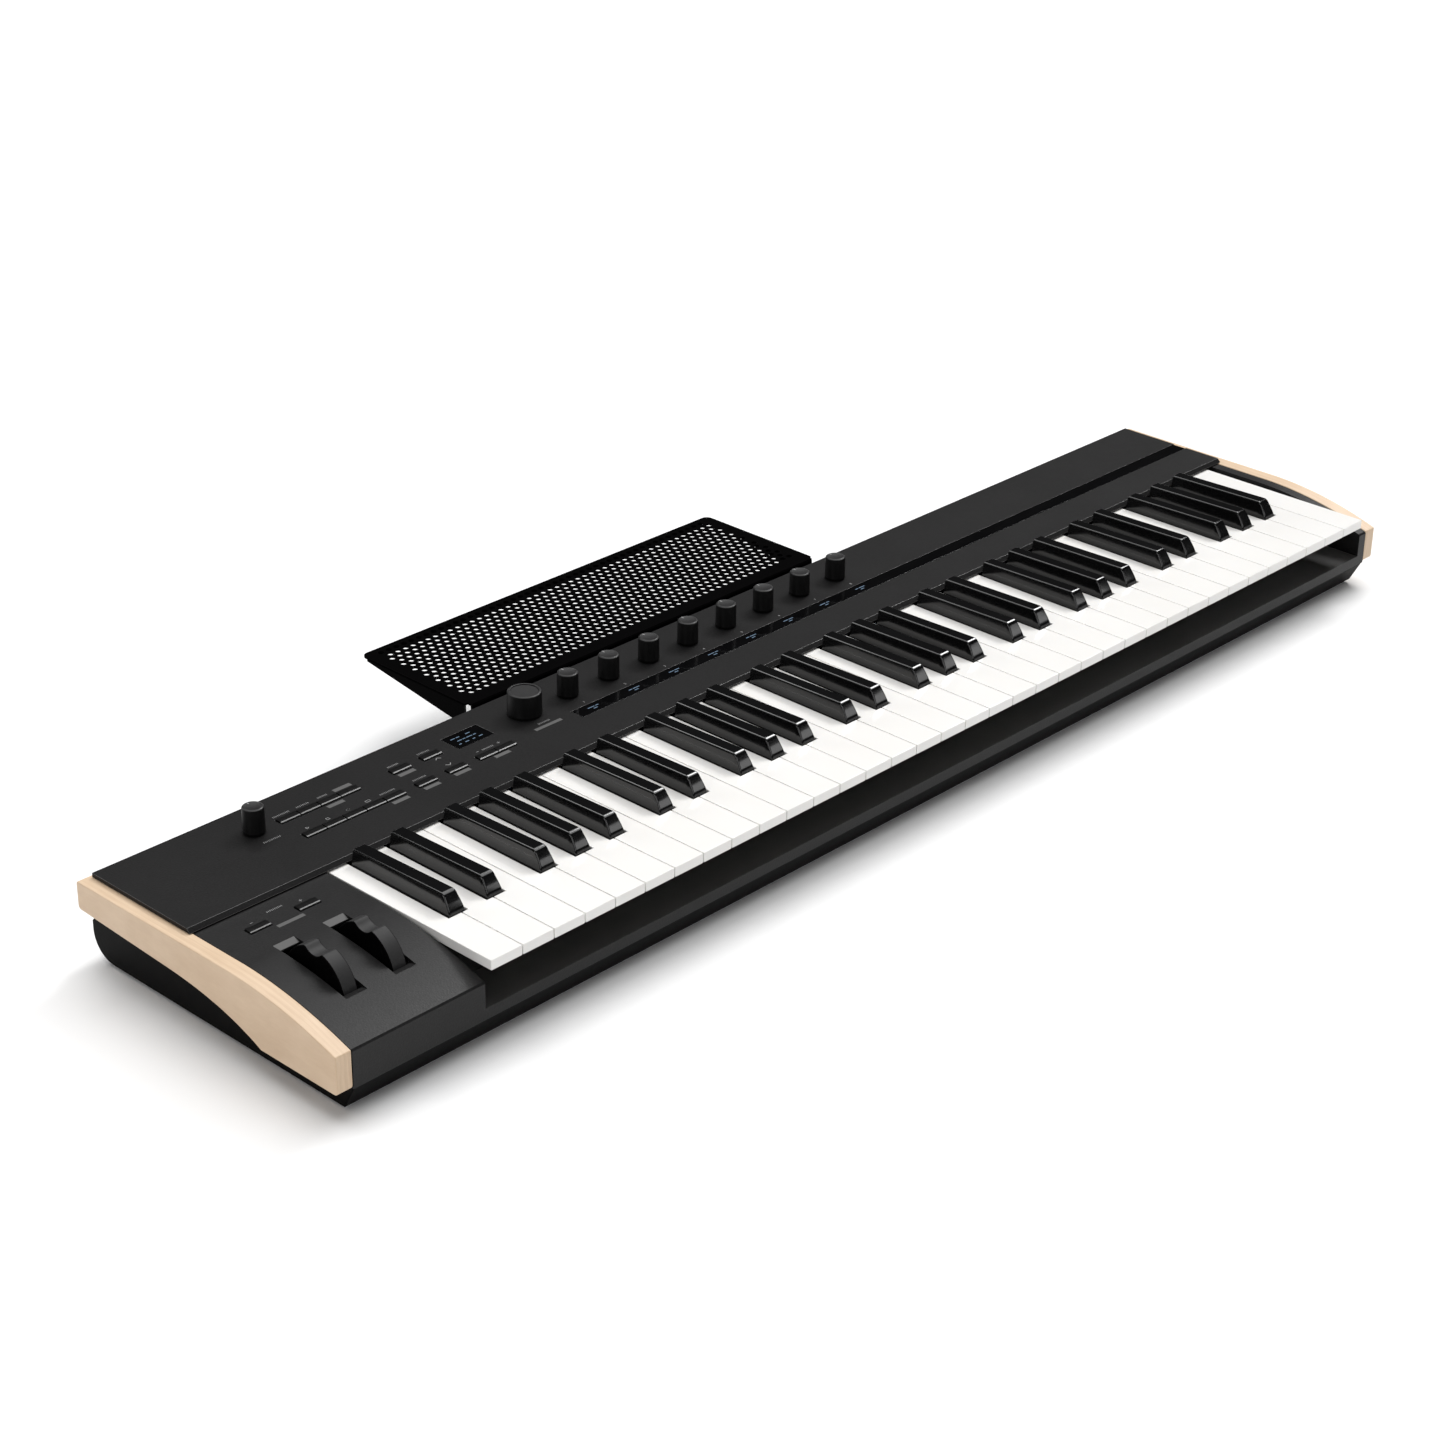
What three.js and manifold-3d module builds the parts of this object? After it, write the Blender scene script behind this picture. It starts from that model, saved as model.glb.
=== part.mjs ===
// A 61-key stage synthesizer with wooden cheeks, in millimetres, +Z up.
//
// Everything is laid out in the keyboard's own coordinates: X runs along the keys from the left edge
// of the lowest key, Y runs back from the front of the white keys, and Z is height above their tops.
// The exported group then moves the origin to the middle of the base.

import * as THREE from "three";
import { mergeVertices } from "three/addons/utils/BufferGeometryUtils.js";
import { ConvexGeometry } from "three/addons/geometries/ConvexGeometry.js";
import Module from "manifold-3d";

const wasm = await Module();
wasm.setup();

// ---------------------------------------------------------------- driving dimensions

const SEAM = 0.4; // air between pieces that are fitted to each other

// keys
const KEY_PITCH = 23.5;
const OCTAVE = 7 * KEY_PITCH;
const WHITE_KEYS = 36;
const WHITE_GAP = 0.9;
const KEY_LIP = 6.5; // height of the front of a white key
const NOTCH_FRONT = 49.2; // where the white keys are cut back for the black ones
const NOTCH_WIDTH = 14.2;
const BLACK_CENTRES = [21.15, 49.35, 90.1, 117.5, 144.9]; // from the left edge of each C
const BLACK_FRONT = 50;
const BLACK_REAR = 133;
const BLACK_BASE = 12.6;
const BLACK_TOP = 9.4;
const BLACK_HEIGHT = 11.3; // at the front of the cap
const BLACK_REAR_HEIGHT = 9.3;
const BLACK_SLOPE = 6.5; // how far the front face leans back
const KEY_SHOULDER = 137; // the keys pass under the panel here and drop to their tails
const TAIL_FRONT = 128;
const TAIL_TOP = -9.8;
const TAIL_BOTTOM = -20.2;
const COMB_FRONT = 186; // combs keep only their own rail behind this line
const TAIL_REAR = 200;
const COMB_RAIL = 2.4;
const COMB_STEP = 4;

// case
const MIDDLE_X = (WHITE_KEYS * KEY_PITCH) / 2 - 41;
const HALF_LENGTH = 488;
const CHEEK = 11;
const LEFT = MIDDLE_X - HALF_LENGTH;
const RIGHT = MIDDLE_X + HALF_LENGTH;
const INNER_LEFT = LEFT + CHEEK;
const INNER_RIGHT = RIGHT - CHEEK;
const FRONT = 3.3;
const CHEEK_REAR = 226;
const CHEEK_TOP = 1;
const CHEEK_CREST = 95; // the top falls away in front of this line
const CHEEK_LIP = -14.1; // height of the top at the front face
const SEAM_HEIGHT = -38.3; // upper case above, lower case below
const SHOULDER_Y = 60; // behind this line the lower case rises behind the cheeks
const SHOULDER_Z = -12;
const BASE = -54;
const PAD_HEIGHT = 2;
const WALL = 2.5;
const REAR_WALL = 227;
const REAR_BULGE = 231;
const TUB_RADIUS = 17;
const BLOCK_RIGHT = -1.5;
const ARM_LEFT = 850.8;
const TROUGH_FLOOR = -31;
const TROUGH_REAR = 36;

// top panel
const PANEL_OVERHANG = 2.3; // over the top of each cheek
const PANEL_FRONT = 134.2;
const PANEL_REAR = 222.5;
const PANEL_BOTTOM = 1.4;
const PANEL_TOP = 4;
const PANEL_CHAMFER = 2.4;

// buttons
const BUTTON = { width: 14.3, depth: 5.8, proud: 1, bevel: 0.6, stem: 5.4 };
const BUTTON_PITCH = 15.1;
const BUTTON_TRAVEL = 0.8;
const BACK_ROW = 194.1;
const FRONT_ROW = 170.7;
const FIRST_COLUMN = 20;
const OCTAVE_BUTTON_Y = 114.4;

// knobs
const KNOB_ROW = 195;
const KNOB_GAP = 0.6;
const ENCODER = { radius: 7, height: 15.6 };
const VALUE_KNOB = { radius: 11.1, height: 15.6, dish: 8.9 };
const VOLUME_KNOB = { radius: 6.8, height: 16.6 };
const ENCODER_START = 244.5;
const ENCODER_PITCH = 35.95;
const SHAFT_RADIUS = 3;
const SHAFT_END = -1.5;

// wheels
const WHEEL = { radius: 24.5, width: 10, y: 62.4, z: -13, bore: 3.2, groove: 8.5, grooveDepth: 4.4 };
const WHEEL_CENTRES = [-65.4, -31];
const SLOT = { width: 14.6, front: 33.3, rear: 94, frontRamp: 4.2, rearRamp: 5, rampDrop: 1.5 };
const AXLE_RADIUS = 2.8;

// windows
const DISPLAY = { left: 147, right: 176.3, front: 188.1, rear: 205.7 };
const STRIP = { left: 229.4, right: 860.2, front: 165.7, rear: 176.8, depth: 1.2 };

// circuit board under the panel
const BOARD = { left: -22, right: 520, front: 156, rear: 212, bottom: -8, top: -6.4 };

// laptop shelf behind the panel
const SHELF = { left: 190.5, right: 511.5, front: 227.4, rear: 330.5, top: 4, sheet: 1.2, drop: 16, corner: 5 };

// rear sockets
const SOCKET_PLATE = { left: 524, right: 836, bottom: -27, top: -4, thick: 1.6 };
const SOCKET_Z = -15.5;
const SOCKET_DEPTH = 13;
const JACK_RADIUS = 3.4;
const MIDI_RADIUS = 6.9;
const JACKS = [648, 676, 704, 732, 770, 798];
const MIDI_SOCKETS = [590, 617];
const USB = { x: 566, width: 9, height: 8.2 };
const POWER_INLET = { x: 547, radius: 3.4 };
const ROCKER = { x: 820, width: 10, height: 15, depth: 7, y: 222.5, tilt: 0.12 };

// ---------------------------------------------------------------- making and joining solids

const YZ_TO_WORLD = new THREE.Matrix4().makeBasis(
  new THREE.Vector3(0, 1, 0),
  new THREE.Vector3(0, 0, 1),
  new THREE.Vector3(1, 0, 0),
);
const XZ_TO_WORLD = new THREE.Matrix4().makeBasis(
  new THREE.Vector3(1, 0, 0),
  new THREE.Vector3(0, 0, 1),
  new THREE.Vector3(0, -1, 0),
);

function outline(points) {
  return new THREE.Shape(points.map(([a, b]) => new THREE.Vector2(a, b)));
}

function extrude(shape, depth, curveSegments = 8) {
  const drawn = Array.isArray(shape) ? outline(shape) : shape;
  return new THREE.ExtrudeGeometry(drawn, { depth, bevelEnabled: false, curveSegments });
}

// An outline in the Y-Z plane, run along X.
function prismX(shape, x0, x1, curveSegments) {
  return extrude(shape, x1 - x0, curveSegments).applyMatrix4(YZ_TO_WORLD).translate(x0, 0, 0);
}

// An outline in the X-Z plane, run along Y.
function prismY(shape, y0, y1, curveSegments) {
  return extrude(shape, y1 - y0, curveSegments).applyMatrix4(XZ_TO_WORLD).translate(0, y1, 0);
}

// An outline in the X-Y plane, run along Z.
function prismZ(shape, z0, z1, curveSegments) {
  return extrude(shape, z1 - z0, curveSegments).translate(0, 0, z0);
}

function block(x0, x1, y0, y1, z0, z1) {
  const box = new THREE.BoxGeometry(x1 - x0, y1 - y0, z1 - z0);
  return box.translate((x0 + x1) / 2, (y0 + y1) / 2, (z0 + z1) / 2);
}

function rodX(radius, x0, x1, y, z, sides = 24) {
  const rod = new THREE.CylinderGeometry(radius, radius, x1 - x0, sides);
  return rod.rotateZ(Math.PI / 2).translate((x0 + x1) / 2, y, z);
}

function rodY(radius, x, y0, y1, z, sides = 20) {
  return new THREE.CylinderGeometry(radius, radius, y1 - y0, sides).translate(x, (y0 + y1) / 2, z);
}

function rodZ(radius, x, y, z0, z1, sides = 20) {
  const rod = new THREE.CylinderGeometry(radius, radius, z1 - z0, sides);
  return rod.rotateX(Math.PI / 2).translate(x, y, (z0 + z1) / 2);
}

function toSolid(geometry) {
  const bare = geometry.clone();
  bare.deleteAttribute("normal");
  bare.deleteAttribute("uv");
  const merged = mergeVertices(bare, 1e-4);
  return new wasm.Manifold(
    new wasm.Mesh({
      numProp: 3,
      vertProperties: merged.attributes.position.array,
      triVerts: new Uint32Array(merged.index.array),
    }),
  );
}

function toGeometry(solid) {
  const mesh = solid.getMesh();
  const geometry = new THREE.BufferGeometry();
  geometry.setAttribute("position", new THREE.BufferAttribute(mesh.vertProperties, 3));
  geometry.setIndex(new THREE.BufferAttribute(mesh.triVerts, 1));
  geometry.computeVertexNormals();
  return geometry;
}

function join(pieces) {
  return toGeometry(pieces.map(toSolid).reduce((all, next) => all.add(next)));
}

function cut(body, tools) {
  return toGeometry(tools.map(toSolid).reduce((left, tool) => left.subtract(tool), toSolid(body)));
}

// ---------------------------------------------------------------- finishes

const FINISH = {
  case: { color: 0x2f2e2f, roughness: 0.62 },
  panel: { color: 0x343334, roughness: 0.6 },
  base: { color: 0x1c1b1c, roughness: 0.55 },
  wood: { color: 0xdcc4a2, roughness: 0.5 },
  whiteKey: { color: 0xf3f1ee, roughness: 0.28 },
  blackKey: { color: 0x0b0b0c, roughness: 0.18 },
  knob: { color: 0x2b2a2a, roughness: 0.55 },
  button: { color: 0x29282a, roughness: 0.5 },
  wheel: { color: 0x3a393a, roughness: 0.6 },
  glass: { color: 0x060708, roughness: 0.08 },
  shelf: { color: 0x121112, roughness: 0.5, metalness: 0.3 },
  frame: { color: 0x232323, roughness: 0.6 },
  board: { color: 0x14452c, roughness: 0.5 },
  steel: { color: 0x8c8d90, roughness: 0.35, metalness: 1 },
};

const synthesizer = new THREE.Group();

function add(name, geometry, finish, parent = synthesizer) {
  const mesh = new THREE.Mesh(geometry, new THREE.MeshStandardMaterial({ metalness: 0, ...finish }));
  mesh.name = name;
  parent.add(mesh);
  return mesh;
}

// ---------------------------------------------------------------- cheeks and cases

// The line that the cheeks and the control block share: level at the back, falling in a parabola to
// the front face.
function topLine(shape, drop) {
  shape.lineTo(CHEEK_CREST, CHEEK_TOP - drop);
  shape.quadraticCurveTo((CHEEK_CREST + FRONT) / 2, CHEEK_TOP - drop, FRONT, CHEEK_LIP - drop);
}

function topHeight(y) {
  const run = Math.max(CHEEK_CREST - y, 0) / (CHEEK_CREST - FRONT);
  return CHEEK_TOP + (CHEEK_LIP - CHEEK_TOP) * run * run;
}

function makeCheek(x0) {
  const shape = new THREE.Shape();
  shape.moveTo(FRONT + 3, -38);
  shape.lineTo(66, -38);
  shape.quadraticCurveTo(98, -22.5, 150, -20.6);
  shape.lineTo(CHEEK_REAR - 3, -17);
  shape.quadraticCurveTo(CHEEK_REAR, -16.8, CHEEK_REAR, -14);
  shape.lineTo(CHEEK_REAR, CHEEK_TOP - 2);
  shape.quadraticCurveTo(CHEEK_REAR, CHEEK_TOP, CHEEK_REAR - 2, CHEEK_TOP);
  topLine(shape, 0);
  shape.lineTo(FRONT, -35);
  shape.quadraticCurveTo(FRONT, -38, FRONT + 3, -38);
  return prismX(shape, x0, x0 + CHEEK, 16);
}

function makeLowerCase() {
  const shell = new THREE.Shape();
  shell.moveTo(FRONT + 0.5, SEAM_HEIGHT - SEAM);
  shell.lineTo(12, BASE);
  shell.absarc(REAR_BULGE - TUB_RADIUS, BASE + TUB_RADIUS, TUB_RADIUS, -Math.PI / 2, 0, false);
  shell.lineTo(REAR_BULGE, -31);
  shell.lineTo(REAR_WALL, -28);
  shell.lineTo(REAR_WALL, -1);
  shell.lineTo(217, -1);
  shell.lineTo(217, SHOULDER_Z - SEAM);
  shell.lineTo(SHOULDER_Y + SEAM, SHOULDER_Z - SEAM);
  shell.lineTo(SHOULDER_Y + SEAM, SEAM_HEIGHT - SEAM);
  const hollow = new THREE.Shape();
  hollow.moveTo(FRONT + 3.4, 0);
  hollow.lineTo(FRONT + 3.4, SEAM_HEIGHT - 2);
  hollow.lineTo(14, BASE + WALL);
  const inside = TUB_RADIUS - WALL;
  hollow.absarc(REAR_BULGE - TUB_RADIUS, BASE + TUB_RADIUS, inside, -Math.PI / 2, 0, false);
  hollow.lineTo(REAR_BULGE - WALL, -31);
  hollow.lineTo(REAR_WALL - WALL, -28);
  hollow.lineTo(REAR_WALL - WALL, -3);
  hollow.lineTo(216, -3);
  hollow.lineTo(216, 0);
  const x0 = INNER_LEFT + SEAM;
  const x1 = INNER_RIGHT - SEAM;
  const plate = SOCKET_PLATE;
  const window = block(plate.left + 4, plate.right - 4, 220, 232, plate.bottom + 3, plate.top - 3);
  const tray = cut(prismX(shell, x0, x1), [prismX(hollow, x0 + WALL, x1 - WALL), window]);
  const pads = [];
  for (const x of [x0 + 36, x1 - 36]) {
    for (const y of [42, 196]) pads.push(rodZ(9, x, y, BASE - PAD_HEIGHT, BASE + 1));
  }
  return join([tray, ...pads]);
}

// The side outline of the upper case, shared by the control block and the arm at the treble end.
function upperOutline(inset, top) {
  const shape = new THREE.Shape();
  shape.moveTo(FRONT + inset, SEAM_HEIGHT - inset);
  shape.lineTo(SHOULDER_Y, SEAM_HEIGHT - inset);
  shape.lineTo(SHOULDER_Y, SHOULDER_Z - inset);
  shape.lineTo(140 + inset, SHOULDER_Z - inset);
  shape.lineTo(140 + inset, CHEEK_TOP - top);
  shape.lineTo(CHEEK_CREST, CHEEK_TOP - top);
  const lip = CHEEK_LIP - top;
  shape.quadraticCurveTo((CHEEK_CREST + FRONT) / 2, CHEEK_TOP - top, FRONT + 1, lip + 0.3);
  shape.lineTo(FRONT + inset, lip - 0.8);
  return shape;
}

function makeUpperCase() {
  const shell = prismX(upperOutline(0, SEAM), INNER_LEFT + 0.3, BLOCK_RIGHT, 16);
  const hollow = prismX(upperOutline(WALL, SEAM + WALL), INNER_LEFT + 0.3 + WALL, BLOCK_RIGHT - WALL);
  const slots = WHEEL_CENTRES.map((x) => prismX(slotOutline(), x - SLOT.width / 2, x + SLOT.width / 2));
  const holes = WHEEL_CENTRES.map((x) => buttonHole(x - 0.6, x - 0.6, OCTAVE_BUTTON_Y, -10, 5));
  const controlBlock = cut(shell, [hollow, ...slots, ...holes]);
  const arm = prismX(upperOutline(0, SEAM), ARM_LEFT, INNER_RIGHT - 0.3, 16);
  const rail = prismX(
    [
      [FRONT, SEAM_HEIGHT],
      [FRONT + WALL, SEAM_HEIGHT],
      [FRONT + WALL, TROUGH_FLOOR - 2.2],
      [TROUGH_REAR, TROUGH_FLOOR - 2.2],
      [TROUGH_REAR, TROUGH_FLOOR],
      [FRONT, TROUGH_FLOOR],
    ],
    BLOCK_RIGHT - 1,
    ARM_LEFT + 1,
  );
  return join([controlBlock, arm, rail]);
}

// The opening for one wheel: straight through, with a shallow ramp at each end.
function slotOutline() {
  const frontLip = SLOT.front + SLOT.frontRamp;
  const rearLip = SLOT.rear - SLOT.rearRamp;
  return [
    [SLOT.front, topHeight(SLOT.front) - SEAM],
    [frontLip, topHeight(frontLip) - SEAM - SLOT.rampDrop],
    [frontLip, -60],
    [rearLip, -60],
    [rearLip, topHeight(rearLip) - SEAM - SLOT.rampDrop],
    [SLOT.rear, topHeight(SLOT.rear) - SEAM],
    [SLOT.rear, 20],
    [SLOT.front, 20],
  ];
}

// ---------------------------------------------------------------- panel and what is under it

// A slot for the buttons whose centres run from x0 to x1 in one row.
function buttonHole(x0, x1, y, z0, z1) {
  const halfWidth = BUTTON.width / 2 + SEAM;
  const halfDepth = BUTTON.depth / 2 + SEAM;
  return block(x0 - halfWidth, x1 + halfWidth, y - halfDepth, y + halfDepth, z0, z1);
}

const column = (index) => FIRST_COLUMN + index * BUTTON_PITCH;
const BUTTON_ROWS = [
  { y: BACK_ROW, names: ["menu_button_1", "menu_button_2", "menu_button_3", "menu_button_4"], x: column(0) },
  { y: BACK_ROW, names: ["arpeggio_button"], x: 105.1 },
  { y: BACK_ROW, names: ["up_button"], x: 129.3 },
  {
    y: FRONT_ROW,
    names: ["play_button", "stop_button", "record_button", "loop_button", "tempo_button"],
    x: column(0),
  },
  { y: FRONT_ROW, names: ["chord_button"], x: 105.1 },
  { y: FRONT_ROW, names: ["down_button"], x: 129.3 },
  { y: FRONT_ROW, names: ["page_left_button", "page_right_button"], x: 153.7 },
];

const KNOBS = [
  { name: "value_knob", x: 207.6, ...VALUE_KNOB },
  { name: "volume_knob", x: -4.3, ...VOLUME_KNOB },
];
for (let index = 0; index < 8; index += 1) {
  KNOBS.push({ name: `encoder_${index + 1}`, x: ENCODER_START + index * ENCODER_PITCH, ...ENCODER });
}

function makeTopPanel() {
  const slab = prismX(
    [
      [PANEL_FRONT, PANEL_BOTTOM],
      [PANEL_REAR, PANEL_BOTTOM],
      [PANEL_REAR, PANEL_TOP],
      [PANEL_FRONT + PANEL_CHAMFER, PANEL_TOP],
      [PANEL_FRONT, PANEL_TOP - PANEL_CHAMFER],
    ],
    INNER_LEFT - PANEL_OVERHANG,
    INNER_RIGHT + PANEL_OVERHANG,
  );
  const holes = BUTTON_ROWS.map((row) => {
    const last = row.x + (row.names.length - 1) * BUTTON_PITCH;
    return buttonHole(row.x, last, row.y, 0, 6);
  });
  const shafts = KNOBS.map((knob) => rodZ(SHAFT_RADIUS + 0.6, knob.x, KNOB_ROW, 0, 6, 16));
  const display = block(DISPLAY.left, DISPLAY.right, DISPLAY.front, DISPLAY.rear, 0, 6);
  const floor = PANEL_TOP - STRIP.depth;
  const groove = block(STRIP.left, RIGHT, STRIP.front, STRIP.rear, floor, 6);
  return cut(slab, [...holes, ...shafts, display, groove]);
}

function makeDisplayWindow() {
  const { left, right, front, rear } = DISPLAY;
  return block(left + SEAM, right - SEAM, front + SEAM, rear - SEAM, 2.6, PANEL_TOP - 0.1);
}

function makeStripWindow() {
  const floor = PANEL_TOP - STRIP.depth;
  const { left, right, front, rear } = STRIP;
  return block(left + SEAM, right, front + SEAM, rear - SEAM, floor + 0.3, PANEL_TOP - 0.05);
}

function makePanelBoard() {
  const { left, right, front, rear, bottom, top } = BOARD;
  const pieces = [block(left, right, front, rear, bottom, top)];
  for (const knob of KNOBS) {
    pieces.push(block(knob.x - 6, knob.x + 6, KNOB_ROW - 6.5, KNOB_ROW + 6.5, top - 0.5, SHAFT_END - 0.3));
  }
  const switchTop = PANEL_TOP + BUTTON.proud - BUTTON.stem - BUTTON_TRAVEL - 0.4;
  for (const row of BUTTON_ROWS) {
    row.names.forEach((_, index) => {
      const x = row.x + index * BUTTON_PITCH;
      pieces.push(block(x - 3, x + 3, row.y - 3, row.y + 3, top - 0.5, switchTop));
    });
  }
  pieces.push(block(DISPLAY.left + 1, DISPLAY.right - 1, DISPLAY.front + 1, DISPLAY.rear - 1, top - 0.5, 2.2));
  for (const x of [left + 5, 188, 262.5, 370.5, right - 5]) {
    pieces.push(rodZ(2.5, x, rear - 4, top - 0.5, PANEL_BOTTOM - 0.3, 12));
  }
  return join(pieces);
}

function makeButton(x, y, surface) {
  const top = surface + BUTTON.proud;
  const y0 = y - BUTTON.depth / 2;
  const y1 = y + BUTTON.depth / 2;
  const profile = [
    [y0, top - BUTTON.stem],
    [y1, top - BUTTON.stem],
    [y1, top],
    [y0 + BUTTON.bevel, top],
    [y0, top - BUTTON.bevel],
  ];
  return prismX(profile, x - BUTTON.width / 2, x + BUTTON.width / 2);
}

// A knob on its short shaft. Its own origin is on the axis, at the height of the panel.
function makeKnob({ radius, height, dish }) {
  const bottom = KNOB_GAP;
  const top = KNOB_GAP + height;
  const profile = [
    [0, SHAFT_END - PANEL_TOP],
    [SHAFT_RADIUS, SHAFT_END - PANEL_TOP],
    [SHAFT_RADIUS, bottom],
    [radius - 0.4, bottom],
    [radius, bottom + 0.5],
    [radius - 0.2, top - 0.8],
    [radius - 0.9, top],
  ];
  if (dish) profile.push([dish, top], [dish - 0.4, top - 0.9], [0, top - 0.9]);
  else profile.push([0, top]);
  const turned = new THREE.LatheGeometry(
    profile.map(([r, z]) => new THREE.Vector2(r, z)),
    28,
  );
  return toGeometry(toSolid(turned.rotateX(Math.PI / 2)));
}

// ---------------------------------------------------------------- wheels

function makeWheel() {
  const { radius, width, bore, groove, grooveDepth } = WHEEL;
  const rim = rodX(radius, -width / 2, width / 2, 0, 0, 56);
  const hole = rodX(bore, -width, width, 0, 0, 20);
  const scoopRadius = (groove * groove * 0.6 + grooveDepth * grooveDepth) / (2 * grooveDepth);
  const scoop = rodX(scoopRadius, -width, width, 0, radius - grooveDepth + scoopRadius, 32);
  return cut(rim, [hole, scoop]);
}

function makeWheelBracket() {
  const floor = BASE + WALL + 0.3;
  const pieces = [block(-88, -8, 34, 122, floor, floor + 2.5)];
  for (const x of WHEEL_CENTRES) {
    for (const side of [-1, 1]) {
      const ear = x + side * (WHEEL.width / 2 + 2.4);
      pieces.push(block(ear - 1, ear + 1, WHEEL.y - 7, WHEEL.y + 7, floor + 1, WHEEL.z + 5));
    }
    const post = -6.2 - BUTTON_TRAVEL;
    pieces.push(block(x - 3.6, x + 2.4, OCTAVE_BUTTON_Y - 3, OCTAVE_BUTTON_Y + 3, floor + 1, post));
  }
  const reach = WHEEL.width / 2 + 3;
  pieces.push(rodX(AXLE_RADIUS, WHEEL_CENTRES[0] - reach, WHEEL_CENTRES[1] + reach, WHEEL.y, WHEEL.z, 20));
  return join(pieces);
}

// ---------------------------------------------------------------- keys

const HAS_BLACK_TO_THE_RIGHT = [true, true, false, true, true, true, false];

// The narrow part of a white key between its black neighbours.
function naturalNeck(index) {
  const degree = index % 7;
  const start = Math.floor(index / 7) * OCTAVE;
  const blackBefore = HAS_BLACK_TO_THE_RIGHT.slice(0, degree).filter(Boolean).length;
  const edges = { left: index * KEY_PITCH + WHITE_GAP / 2, right: (index + 1) * KEY_PITCH - WHITE_GAP / 2 };
  const notchLeft = degree > 0 && HAS_BLACK_TO_THE_RIGHT[degree - 1];
  const notchRight = HAS_BLACK_TO_THE_RIGHT[degree] && index < WHITE_KEYS - 1;
  return {
    ...edges,
    neckLeft: notchLeft ? start + BLACK_CENTRES[blackBefore - 1] + NOTCH_WIDTH / 2 : edges.left,
    neckRight: notchRight ? start + BLACK_CENTRES[blackBefore] - NOTCH_WIDTH / 2 : edges.right,
  };
}

// The tail of a key. A key that is part of a comb keeps only one level of it at the very back.
function tailOutline(level) {
  const high = level === undefined ? TAIL_TOP : TAIL_TOP - level * COMB_STEP;
  const low = level === undefined ? TAIL_BOTTOM : high - COMB_RAIL;
  const outlinePoints = [
    [TAIL_FRONT, -2],
    [TAIL_FRONT, TAIL_BOTTOM],
    [COMB_FRONT, TAIL_BOTTOM],
  ];
  if (low > TAIL_BOTTOM) outlinePoints.push([COMB_FRONT, low]);
  outlinePoints.push([TAIL_REAR, low], [TAIL_REAR, high]);
  if (high < TAIL_TOP) outlinePoints.push([COMB_FRONT, high]);
  outlinePoints.push([COMB_FRONT - 1, TAIL_TOP], [KEY_SHOULDER, TAIL_TOP], [KEY_SHOULDER, -2]);
  return outlinePoints;
}

function naturalPieces(index, level) {
  const { left, right, neckLeft, neckRight } = naturalNeck(index);
  const top = [
    [left, 0],
    [right, 0],
  ];
  if (neckRight < right) top.push([right, NOTCH_FRONT], [neckRight, NOTCH_FRONT]);
  top.push([neckRight, KEY_SHOULDER], [neckLeft, KEY_SHOULDER]);
  if (neckLeft > left) top.push([neckLeft, NOTCH_FRONT], [left, NOTCH_FRONT]);
  return [prismZ(top, -KEY_LIP, 0), prismX(tailOutline(level), neckLeft, neckRight)];
}

function sharpPieces(centre, level) {
  const half = BLACK_BASE / 2;
  const halfTop = BLACK_TOP / 2;
  const corners = [];
  for (const side of [-1, 1]) {
    corners.push(new THREE.Vector3(centre + side * half, BLACK_FRONT, -0.5));
    corners.push(new THREE.Vector3(centre + side * half, BLACK_REAR, -0.5));
    corners.push(new THREE.Vector3(centre + side * halfTop, BLACK_FRONT + BLACK_SLOPE, BLACK_HEIGHT - 1.2));
    corners.push(new THREE.Vector3(centre + side * halfTop, BLACK_FRONT + BLACK_SLOPE + 2.5, BLACK_HEIGHT));
    corners.push(new THREE.Vector3(centre + side * halfTop, BLACK_REAR - 1.5, BLACK_REAR_HEIGHT));
  }
  const stem = block(centre - half, centre + half, BLACK_FRONT, KEY_SHOULDER, -KEY_LIP, -0.3);
  const tail = prismX(tailOutline(level), centre - half, centre + half);
  return [new ConvexGeometry(corners), stem, tail];
}

const NATURAL_NAMES = ["c", "d", "e", "f", "g", "a", "b"];
const SHARP_NAMES = ["cs", "ds", "fs", "gs", "as"];

// One octave of keys that each play on their own.
function addSoloOctave(octave) {
  NATURAL_NAMES.forEach((name, degree) => {
    add(`key_${name}`, join(naturalPieces(octave * 7 + degree)), FINISH.whiteKey);
  });
  SHARP_NAMES.forEach((name, index) => {
    const centre = octave * OCTAVE + BLACK_CENTRES[index];
    add(`key_${name}`, join(sharpPieces(centre)), FINISH.blackKey);
  });
}

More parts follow.
